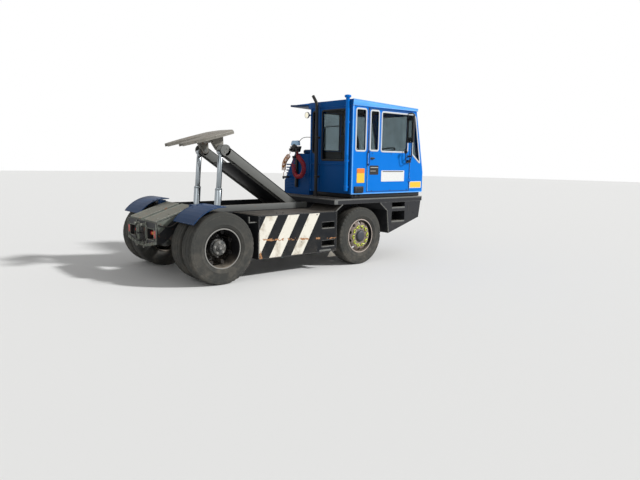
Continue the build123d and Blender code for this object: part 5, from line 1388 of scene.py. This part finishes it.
def box_trim():
    for side, sign in SIDES:
        black, pale = bmesh.new(), bmesh.new()
        face = sign * 1.240
        for z_low, z_high in ((0.395, 0.500), (0.700, 0.805)):
            strip(pale, (1.852, 2.128), (face - sign * 0.020, face + sign * 0.0015), (z_low - 0.002, z_low + 0.010))
            for step in range(7):
                x = 1.866 + step * 0.037
                strip(pale, (x, x + 0.012), (face - sign * 0.135, face - sign * 0.022), (z_low, z_low + 0.007),
                      0.002, 1)
            loop = rectangle((1.846, z_low - 0.004), (2.134, z_high + 0.004),
                             lambda x, z: at(x, face - sign * 0.001, z))
            swept(black, softened(loop, 0.012, 3), 0.005, 1, closed=True)
        strip(black, (0.604, 2.176), (face - sign * 0.022, face + sign * 0.002), (0.963, 0.977), 0.003)
        strip(black, (0.604, 2.176), (face - sign * 0.022, face + sign * 0.002), (0.310, 0.322), 0.003)
        for x in (0.602, 2.166):
            strip(black, (x, x + 0.012), (face - sign * 0.010, face + sign * 0.002), (0.315, 0.972), 0.002)
        for x in (0.85, 1.25):
            strip(black, (x, x + 0.09), (sign * 0.66, sign * 0.72), (0.974, 0.984), 0.003)
        strip(black, (0.640, 1.52), (sign * 0.53, sign * 1.21), (0.975, 0.981), 0.004)
        handle = [at(1.02, sign * 1.12, 0.980), at(1.02, sign * 1.12, 1.005), at(1.14, sign * 1.12, 1.005),
                  at(1.14, sign * 1.12, 0.980)]
        swept(black, handle, 0.006, 2)
        for x, z in ((0.63, 0.94), (0.63, 0.35), (1.74, 0.94), (1.74, 0.35), (2.15, 0.94), (2.15, 0.35)):
            bolt(black, at(x, face, z), ACROSS * sign, 0.007)
        finished(f"box_seams_{side}", black, "chassis", "box_black", "frame_black")
        strip(pale, (0.456, 0.468), (sign * 1.17, sign * 1.20), (0.875, 0.968), 0.003)
        strip(pale, (0.456, 0.600), (sign * 1.17, sign * 1.20), (0.872, 0.886), 0.003)
        strip(pale, (1.80, 2.06), (sign * 1.205, sign * 1.2425), (0.318, 0.352), 0.008)
        finished(f"box_treads_{side}", pale, "chassis", "box_black", "worn_rail")
        guard = bmesh.new()
        prism(guard, [at(1.985, sign * 1.236, 0.215), at(2.175, sign * 1.236, 0.215), at(2.060, sign * 1.236, 0.325)],
              (0, -sign * 0.008, 0), 0.002)
        finished(f"step_bracket_{side}", guard, "chassis", "box_black", "plate_steel")


def guard_edges():
    mesh = bmesh.new()
    for sign in (1, -1):
        for y in (0.622, 1.238):
            line = [at(0.606 * math.cos(math.radians(angle)), sign * y,
                       0.530 + 0.606 * math.sin(math.radians(angle))) for angle in range(86, 142, 3)]
            swept(mesh, line, 0.0085, 2)
        for angle in (86, 141):
            turn = math.radians(angle)
            spot = at(0.606 * math.cos(turn), 0, 0.530 + 0.606 * math.sin(turn))
            swept(mesh, [spot + ACROSS * sign * 0.622, spot + ACROSS * sign * 1.238], 0.0085, 2)
        for angle in (95, 102, 109):
            turn = math.radians(angle)
            out = Vector((math.cos(turn), 0, math.sin(turn)))
            bolt(mesh, at(0, sign * 0.70, 0.530) + out * 0.612, out, 0.008)
        strip(mesh, (-0.150, -0.070), (sign * 0.468, sign * 0.66), (1.085, 1.110), 0.004)
    finished("guard_edges", mesh, "chassis", "mudguard_blue")


def rear_end():
    dark, worn, red, amber = bmesh.new(), bmesh.new(), bmesh.new(), bmesh.new()
    back = -0.700
    for sign in (1, -1):
        loop = rectangle((0.205, 0.612), (0.445, 0.778), lambda y, z: at(back - 0.001, sign * y, z))
        swept(worn, softened(loop, 0.012, 3), 0.006, 1, closed=True)
        for y, z in ((0.19, 0.595), (0.46, 0.595), (0.19, 0.795), (0.46, 0.795), (0.49, 0.70)):
            bolt(worn, at(back, sign * y, z), -FORWARD, 0.008)
        for y, kind in ((0.375, red), (0.300, amber), (0.240, red)):
            centre = at(back + 0.06, sign * y, 0.700)
            turned(kind, [(0.0, -0.018), (0.020, -0.016), (0.031, -0.006), (0.034, 0.0), (0.034, 0.02),
                          (0.0, 0.022)], centre, FORWARD, 32, ACROSS)
        strip(red, (-0.705, -0.700), (sign * 0.455, sign * 0.510), (0.650, 0.760), 0.002)
        side_rim = [at(-0.700, sign * 0.520, 0.866), at(-0.700, sign * 0.520, 0.562)]
        swept(worn, side_rim, 0.008, 2)
        slope = [at(-0.676, sign * 0.472, 0.892), at(-0.052, sign * 0.472, 1.100)]
        swept(worn, slope, 0.009, 2)
        swept(worn, [at(-0.676, sign * 0.062, 0.892), at(-0.052, sign * 0.062, 1.100)], 0.008, 2)
        for x in (-0.60, -0.42, -0.24):
            spot = at(x, sign * 0.36, 0.870 + (x + 0.68) / 3 + 0.021)
            bolt(worn, spot, (-0.316, 0, 0.949), 0.010)
        coupling = at(back - 0.002, sign * 0.115, 0.815)
        turned(worn, [(0.0, 0.0), (0.030, 0.0), (0.030, -0.010), (0.021, -0.013), (0.021, -0.045), (0.026, -0.048),
                      (0.026, -0.062), (0.0, -0.064)], coupling, FORWARD, 32, ACROSS)
        swept(dark, [at(back - 0.03, sign * 0.115, 0.80), at(back - 0.06, sign * 0.14, 0.73),
                     at(back - 0.03, sign * 0.17, 0.64), at(back - 0.012, sign * 0.165, 0.575)], 0.008, 3, bent=True)
        chain = [at(back - 0.012 - 0.018 * math.sin(step * math.pi / 13), sign * (0.05 + step * 0.012),
                    0.575 - 0.10 * math.sin(step * math.pi / 13)) for step in range(14)]
        for index, (first, last) in enumerate(zip(chain, chain[1:])):
            link = framed((first + last) / 2, last - first, FORWARD if index % 2 else UP)
            loop = [link @ Vector(point) for point in ((-0.010, -0.006, 0), (0.010, -0.006, 0),
                                                        (0.010, 0.006, 0), (-0.010, 0.006, 0))]
            swept(worn, softened(loop, 0.005, 3), 0.0025, 1, closed=True)
        swept(dark, [at(-0.64, sign * 0.485, 0.84), at(-0.50, sign * 0.50, 0.78), at(-0.36, sign * 0.49, 0.86),
                     at(-0.20, sign * 0.487, 0.90), at(0.0, sign * 0.486, 0.92)], 0.010, 3, bent=True)
    turned(worn, [(0.0, 0.836), (0.024, 0.836), (0.028, 0.830), (0.028, 0.806), (0.0195, 0.804), (0.0195, 0.552),
                  (0.014, 0.545), (0.0, 0.545)], at(-0.742, 0, -0.03), UP, 32)
    ring = [at(-0.742, 0, 0.806) + Vector((0, 0.024 * math.cos(turn), 0.024 * math.sin(turn) + 0.024))
            for turn in (step * math.pi / 12 for step in range(24))]
    swept(worn, ring, 0.004, 2, closed=True)
    strip(worn, (-0.705, -0.699), (-0.090, 0.090), (0.520, 0.560), 0.004)
    for sign in (1, -1):
        prism(worn, [at(-0.712, sign * 0.150, 0.487), at(-0.712, sign * 0.515, 0.557),
                     at(-0.712, sign * 0.515, 0.598), at(-0.712, sign * 0.150, 0.532)], (0.016, 0, 0), 0.005)
        strip(worn, (-0.709, -0.699), (sign * 0.150, sign * 0.185), (0.530, 0.862), 0.003)
        # A lighter plate in a triangle on each rail's side. It is painted sunlight, and its slanting edge follows the
        # tyre's shadow.
        prism(worn, [at(-0.672, sign * 0.4705, 0.866), at(-0.330, sign * 0.4705, 0.972),
                     at(-0.640, sign * 0.4705, 0.700)], (0, sign * 0.004, 0), 0.001)
        for y, z in ((0.20, 0.50), (0.30, 0.52), (0.40, 0.54)):
            turned(worn, [(0.0, -0.012), (0.020, -0.010), (0.026, 0.0), (0.020, 0.012), (0.0, 0.014)],
                   at(-0.714, sign * y, z + 0.02), FORWARD, 20, ACROSS)
    strip(worn, (-0.712, -0.699), (-0.150, 0.150), (0.488, 0.520), 0.005)
    finished("rear_fittings", worn, "chassis", "worn_steel", "worn_steel")
    finished("rear_cables", dark, "chassis", "rubber_black")
    finished("rear_lenses_red", red, "chassis", "red_lens", replaced=["rear_lamp_lenses"])
    finished("rear_lenses_amber", amber, "chassis", "red_lens", "amber_lens")


def axle_fittings():
    dark, steel = bmesh.new(), bmesh.new()
    for sign in (1, -1):
        for place, towards in ((at(-0.16, sign * 0.545, 0.600), Vector((-1, 0, 0.25))),
                               (at(0.16, sign * 0.545, 0.600), Vector((1, 0, 0.25)))):
            turned(dark, [(0.0, 0.0), (0.055, 0.004), (0.068, 0.02), (0.068, 0.055), (0.074, 0.058),
                          (0.074, 0.066), (0.068, 0.069), (0.060, 0.11), (0.0, 0.116)], place,
                   towards.normalized(), 40, ACROSS)
        for x in (-0.075, 0.075):
            bow = [at(x, sign * 0.485, 0.70), at(x, sign * 0.485, 0.45), at(x, sign * 0.43, 0.445),
                   at(x, sign * 0.43, 0.70)]
            swept(steel, bow, 0.010, 3)
        for step in range(12):
            turn = step * math.pi / 6
            spot = at(0.165 * math.cos(turn), sign * 0.122, 0.530 + 0.165 * math.sin(turn))
            bolt(steel, spot, ACROSS * sign, 0.009)
        for x in (2.755, 2.845):
            bow = [at(x, sign * 0.505, 0.595), at(x, sign * 0.505, 0.40), at(x, sign * 0.405, 0.40),
                   at(x, sign * 0.405, 0.595)]
            swept(steel, bow, 0.009, 3)
        swept(dark, [at(0.10, sign * 0.17, 0.62), at(0.18, sign * 0.18, 0.72), at(0.36, sign * 0.14, 0.82),
                     at(0.80, sign * 0.12, 0.86), at(1.60, sign * 0.12, 0.86)], 0.011, 3, bent=True)
    for x in (1.05, 1.45):
        turned(dark, [(0.0, -0.15), (0.06, -0.148), (0.088, -0.130), (0.092, -0.110), (0.092, 0.110),
                      (0.088, 0.130), (0.06, 0.148), (0.0, 0.15)], at(x, 0.24, 0.60), FORWARD, 40)
    finished("brake_chambers", dark, "chassis", "cast_dark")
    finished("axle_bolts", steel, "chassis", "cast_dark", "worn_steel")


def front_lamps():
    glass, ring = bmesh.new(), bmesh.new()
    for sign in (1, -1):
        centre = at(4.316, sign * 0.860, 0.930)
        turned(glass, [(0.0, 0.0), (0.062, 0.0), (0.068, 0.020), (0.068, 0.040), (0.050, 0.047), (0.0, 0.050)],
               centre, FORWARD, 48, ACROSS)
        turned(ring, [(0.066, 0.002), (0.0745, 0.002), (0.0745, 0.046), (0.071, 0.050), (0.066, 0.046),
                      (0.066, 0.002)], centre, FORWARD, 48, ACROSS)
    lamp = at(2.497, -0.020, 2.630)
    lit = bmesh.new()
    turned(lit, [(0.0, -0.030), (0.040, -0.028), (0.050, -0.022), (0.050, -0.016), (0.0, -0.015)], lamp,
           FORWARD, 40, ACROSS)
    turned(ring, [(0.049, -0.024), (0.056, -0.026), (0.058, -0.020), (0.057, 0.000), (0.040, 0.022),
                  (0.018, 0.030), (0.0, 0.030)], lamp, FORWARD, 40, ACROSS)
    strip(ring, (2.505, 2.588), (-0.070, -0.040), (2.618, 2.642), 0.004)
    finished("lamp_lenses", glass, "chassis", "lamp_glass", replaced=["lamps"])
    finished("work_lamp_lens", lit, "chassis", "lamp_glass", "lamp_lit")
    finished("lamp_rings", ring, "chassis", "lamp_glass", "zinc")
    plate = bmesh.new()
    corners = rectangle((-0.26, 0.85), (0.26, 0.96), lambda y, z: at(4.362 + (z - 0.90) * 0.16, y, z))
    prism(plate, softened(corners, 0.010, 3), (0.004, 0, 0), 0.001, 1)
    finished("number_plate_blank", plate, "chassis", "lamp_glass", "plate_white")


def stand_head():
    post, lens, pale = bmesh.new(), bmesh.new(), bmesh.new()
    x, y = 2.500, 0.330
    strip(post, (2.502, 2.550), (y - 0.029, y + 0.029), (1.300, 2.060), 0.006)
    panel = [at(2.475, y + across, z) for across, z in ((-0.11, 1.960), (0.11, 1.960), (0.150, 2.055),
                                                        (0.150, 2.070), (-0.150, 2.070), (-0.150, 2.055))]
    prism(post, panel, (0.050, 0, 0), 0.006)
    for across, z, back in ((-0.130, 2.0103, 2.470), (-0.030, 1.8703, 2.500), (0.070, 2.0103, 2.470),
                            (0.280, 1.4797, 2.550)):
        low = z - 0.018
        strip(post, (2.407, back), (y + across - 0.020, y + across + 0.020), (low, low + 0.036), 0.005, 3)
        turned(post, [(0.0, 0.0), (0.021, 0.0), (0.021, -0.012), (0.017, -0.014), (0.017, -0.020)],
               at(2.425, y + across, low + 0.002), UP, 24)
    # The lamp hood is a lighter blue: painted sunlight on a blue hood.
    pale_low, pale_top = 2.085, 2.176
    hood = [at(2.462, y - 0.120, pale_low), at(2.462, y + 0.120, pale_low), at(2.470, y + 0.095, pale_top),
            at(2.470, y - 0.095, pale_top)]
    prism(pale, softened(hood, 0.022, 4), (0.060, 0, 0), 0.012, 3)
    turned(lens, [(0.0, -0.016), (0.050, -0.014), (0.062, -0.006), (0.066, 0.004), (0.066, 0.030), (0.0, 0.034)],
           at(2.452, y, 2.045), FORWARD, 48, ACROSS)
    cable = [at(2.500, y - 0.10, 2.150), at(2.500, y - 0.16, 2.205), at(2.520, y - 0.24, 2.235),
             at(2.525, y - 0.36, 2.235), at(2.528, y - 0.402, 2.232)]
    swept(post, cable, 0.006, 2, bent=True)
    finished("hose_panel", post, "chassis", "pipe_black", replaced=["hose_stand"])
    finished("stand_lamp_hood", pale, "chassis", "pipe_black", "lamp_blue")
    finished("stand_lamp", lens, "chassis", "pipe_black", "mirror_black")


def slope_at(x, up, out=0.0):
    """A place on the sloping left side of the engine cover, by its distance up the slope."""
    run = Vector((0, 0.420 - 0.740, 1.930 - 1.410))
    away = Vector((0, run.z, -run.y)).normalized()
    return at(x, 0.740, 1.410) + run.normalized() * up + away * out


def cover_trim():
    hatch, fixed, grille = bmesh.new(), bmesh.new(), bmesh.new()
    place = framed(slope_at(0, 0), FORWARD, slope_at(0, 0, 1) - slope_at(0, 0))
    tilt = place.to_3x3().to_4x4()
    for column in range(3):
        for row in range(7):
            spot = slope_at(2.88 + column * 0.40, 0.17 + row * 0.042, 0.002)
            louvre = Matrix.Translation(spot) @ tilt
            box(hatch, (0.0, -0.013, -0.002), (0.30, 0.013, 0.008), 0.0045, 3, place=louvre)
    for x in (2.80, 3.98):
        spot = Matrix.Translation(slope_at(x, 0.10, 0.0)) @ tilt
        box(hatch, (-0.022, -0.030, 0.0), (0.022, 0.030, 0.012), 0.004, 2, place=spot)
        box(hatch, (-0.008, -0.040, 0.010), (0.008, 0.024, 0.018), 0.003, 2, place=spot)
    finished("hatch_louvres", hatch, "engine_hatch", "cab_blue", "pipe_black")
    for row in range(9):
        z = 1.27 + row * 0.055
        strip(fixed, (2.543, 2.552), (0.46, 0.68), (z, z + 0.026), 0.004)
    for y in (-0.015, 0.405):
        swept(fixed, [at(2.560, y, 1.932), at(4.270, y, 1.932)], 0.006, 2)
    turned(fixed, [(0.0, 1.930), (0.060, 1.930), (0.060, 1.945), (0.052, 1.955), (0.0, 1.957)],
           at(3.90, 0.20, 0), UP, 40)
    # The louvres, rails and cap on the engine cover take the darker blue of painted shade.
    finished("cover_louvres", fixed, "chassis", "cab_blue", "cab_rear")
    for row in range(12):
        z = 1.24 + row * 0.048
        strip(grille, (4.280, 4.292), (0.04, 0.62 if z < 1.50 else 0.38), (z, z + 0.018), 0.004)
    for y in (0.03, 0.20, 0.38):
        strip(grille, (4.281, 4.296), (y, y + 0.014), (1.225, 1.80), 0.004)
    finished("cover_grille", grille, "chassis", "cab_blue", "pipe_black")


# Operators


class TRACTOR_OT_finishes(bpy.types.Operator):
    """Builds the shared node groups and finishes, and gives every CAD node its own"""

    bl_idname = "tractor.finishes"
    bl_label = "Finishes"

    def execute(self, context):
        make_finishes()
        # The rear wall, the engine cover and the hatch take the darker blue of painted shade. The front wall keeps
        # the cab blue.
        special = {"cab_front_wall": "cab_blue", "cab_rear_wall": "cab_rear", "engine_cover": "cab_rear",
                   "engine_hatch": "cab_rear", "engine": "engine_paint", "frame_rails": "frame_black",
                   "cross_members": "frame_black"}
        for name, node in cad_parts.items():
            slots = node.material_slots
            for entry in slots:
                wanted = special.get(name) or (entry.material.name.split(".")[0] if entry.material else "")
                if wanted not in FINISHES:
                    raise RuntimeError(f"no finish for {name}: {wanted}")
                entry.material = FINISHES[wanted]
        return {"FINISHED"}


class TRACTOR_OT_wheels(bpy.types.Operator):
    """Builds the tyres, rims, hubs and nuts of all wheels"""

    bl_idname = "tractor.wheels"
    bl_label = "Wheels"

    def execute(self, context):
        sizes = context.scene.tractor_wheels
        for side, sign in SIDES:
            rear_wheels(side, sign, sizes)
            front_wheel(side, sign, sizes)
        return {"FINISHED"}


class TRACTOR_OT_hoses(bpy.types.Operator):
    """Coils the two air hoses"""

    bl_idname = "tractor.hoses"
    bl_label = "Air hoses"

    def execute(self, context):
        sizes = context.scene.tractor_hoses
        coiled_hose("spiral_hose_red", RED_ROUTE, "hose_red", sizes)
        coiled_hose("spiral_hose_yellow", YELLOW_ROUTE, "hose_yellow", sizes)
        return {"FINISHED"}


class TRACTOR_OT_lift(bpy.types.Operator):
    """Builds the lift arm, its cylinders and the fifth wheel"""

    bl_idname = "tractor.lift"
    bl_label = "Lift arm"

    def execute(self, context):
        lift_beam()
        for side, sign in SIDES:
            cylinders(side, sign)
        coupling_plate()
        return {"FINISHED"}


class TRACTOR_OT_cab(bpy.types.Operator):
    """Adds window rubbers, plates, edges, door fittings and a wiper to the cab"""

    bl_idname = "tractor.cab"
    bl_label = "Cab trim"

    def execute(self, context):
        window_rubbers()
        side_plates()
        cab_trim()
        return {"FINISHED"}


class TRACTOR_OT_pipes(bpy.types.Operator):
    """Builds the intake and exhaust stacks"""

    bl_idname = "tractor.pipes"
    bl_label = "Stacks"

    def execute(self, context):
        pipes()
        return {"FINISHED"}


class TRACTOR_OT_mirrors(bpy.types.Operator):
    """Builds the two mirrors"""

    bl_idname = "tractor.mirrors"
    bl_label = "Mirrors"

    def execute(self, context):
        mirrors()
        return {"FINISHED"}


class TRACTOR_OT_inside(bpy.types.Operator):
    """Builds the seat, the steering wheel and the dashboard"""

    bl_idname = "tractor.inside"
    bl_label = "Inside the cab"

    def execute(self, context):
        seat_pads()
        controls()
        return {"FINISHED"}


class TRACTOR_OT_frame(bpy.types.Operator):
    """Adds the rails' worn faces, lighter as painted sunlight, box seams, treads, guard edges and axle fittings"""

    bl_idname = "tractor.frame"
    bl_label = "Frame trim"

    def execute(self, context):
        frame_lit_faces_and_deck()
        box_trim()
        guard_edges()
        axle_fittings()
        cover_trim()
        return {"FINISHED"}


class TRACTOR_OT_rear(bpy.types.Operator):
    """Builds the fittings of the rear end"""

    bl_idname = "tractor.rear"
    bl_label = "Rear end"

    def execute(self, context):
        rear_end()
        return {"FINISHED"}


class TRACTOR_OT_lamps(bpy.types.Operator):
    """Builds the lamps, the hose stand's head and the blank number plate"""

    bl_idname = "tractor.lamps"
    bl_label = "Lamps"

    def execute(self, context):
        front_lamps()
        stand_head()
        return {"FINISHED"}


class TRACTOR_OT_stage(bpy.types.Operator):
    """Lays the pale floor and sets the lamps, the world and the camera"""

    bl_idname = "tractor.stage"
    bl_label = "Stage"

    def execute(self, context):
        scene = context.scene
        scene.view_settings.view_transform = "Standard"
        ground = bmesh.new()
        bmesh.ops.create_circle(ground, cap_ends=True, segments=64, radius=60.0)
        data = bpy.data.meshes.new("floor")
        ground.to_mesh(data)
        ground.free()
        floor = bpy.data.objects.new("floor", data)
        scene.collection.objects.link(floor)
        made, tree, shader = material("pale_floor")
        shader.inputs["Base Color"].default_value = (0.82, 0.82, 0.81, 1)
        shader.inputs["Roughness"].default_value = 0.9
        data.materials.append(made)
        world = bpy.data.worlds.new("studio")
        scene.world = world
        world.use_nodes = True
        tree = world.node_tree
        sky = tree.nodes["Background"]
        rays = add(tree, "LightPath").outputs
        seen = sums(tree, "MAXIMUM", rays["Is Camera Ray"],
                    sums(tree, "MAXIMUM", rays["Is Glossy Ray"], rays["Is Transmission Ray"]))
        sky.inputs["Color"].default_value = (1, 1, 1, 1)
        tree.links.new(add(tree, "MapRange", None, seen, 0.0, 1.0, 0.31, 1.0).outputs[0],
                       sky.inputs["Strength"])
        lamps = (("key", "SUN", (0.62, -0.72, 0.62), 3.3, 0.08), ("fill", "SUN", (-0.7, -0.5, 0.5), 0.3, 0.6))
        for name, kind, towards, power, spread in lamps:
            lamp = bpy.data.lights.new(name, kind)
            lamp.energy = power
            lamp.angle = spread
            holder = bpy.data.objects.new(name, lamp)
            holder.rotation_euler = Vector(towards).to_track_quat("Z", "Y").to_euler()
            scene.collection.objects.link(holder)
        self.place_camera(scene)
        return {"FINISHED"}

    @staticmethod
    def place_camera(scene):
        """Stands the camera where the photograph was taken."""
        yaw, pitch, roll = 0.867, 0.145, 0.018
        place = at(-4.0467, -8.1438, 1.8390)
        ahead = Vector((math.cos(pitch) * math.cos(yaw), math.cos(pitch) * math.sin(yaw), -math.sin(pitch)))
        level = Vector((math.sin(yaw), -math.cos(yaw), 0))
        up = level.cross(ahead)
        right = level * math.cos(roll) + up * math.sin(roll)
        above = up * math.cos(roll) - level * math.sin(roll)
        turn = Matrix((right, above, -ahead)).transposed().to_4x4()
        lens = bpy.data.cameras.new("camera")
        lens.lens = 31.214
        lens.sensor_width = 36.0
        lens.clip_end = 200.0
        camera = bpy.data.objects.new("camera", lens)
        camera.matrix_world = Matrix.Translation(place) @ turn
        scene.collection.objects.link(camera)
        scene.camera = camera


class TRACTOR_PT_dressing(bpy.types.Panel):
    """Lists the steps that dress the tractor"""

    bl_idname = "TRACTOR_PT_dressing"
    bl_label = "Terminal tractor"
    bl_space_type = "VIEW_3D"
    bl_region_type = "UI"
    bl_category = "Tractor"

    def draw(self, context):
        for step in STEPS:
            self.layout.operator(step.bl_idname)
        for group in (context.scene.tractor_wheels, context.scene.tractor_hoses, context.scene.tractor_paint):
            for name in group.bl_rna.properties.keys():
                if name not in ("rna_type", "name"):
                    self.layout.prop(group, name)


STEPS = (TRACTOR_OT_finishes, TRACTOR_OT_wheels, TRACTOR_OT_hoses, TRACTOR_OT_lift, TRACTOR_OT_cab,
         TRACTOR_OT_pipes, TRACTOR_OT_mirrors, TRACTOR_OT_inside, TRACTOR_OT_frame, TRACTOR_OT_rear,
         TRACTOR_OT_lamps, TRACTOR_OT_stage)
CLASSES = (WheelSizes, PaintColours, HoseSizes, *STEPS, TRACTOR_PT_dressing)


def register():
    for entry in CLASSES:
        bpy.utils.register_class(entry)
    bpy.types.Scene.tractor_wheels = bpy.props.PointerProperty(type=WheelSizes)
    bpy.types.Scene.tractor_paint = bpy.props.PointerProperty(type=PaintColours)
    bpy.types.Scene.tractor_hoses = bpy.props.PointerProperty(type=HoseSizes)


def unregister():
    for name in ("tractor_wheels", "tractor_paint", "tractor_hoses"):
        delattr(bpy.types.Scene, name)
    for entry in reversed(CLASSES):
        bpy.utils.unregister_class(entry)


def main():
    random.seed(7)
    register()
    for step in STEPS:
        group, name = step.bl_idname.split(".")
        getattr(getattr(bpy.ops, group), name)()


if __name__ == "__main__":
    main()
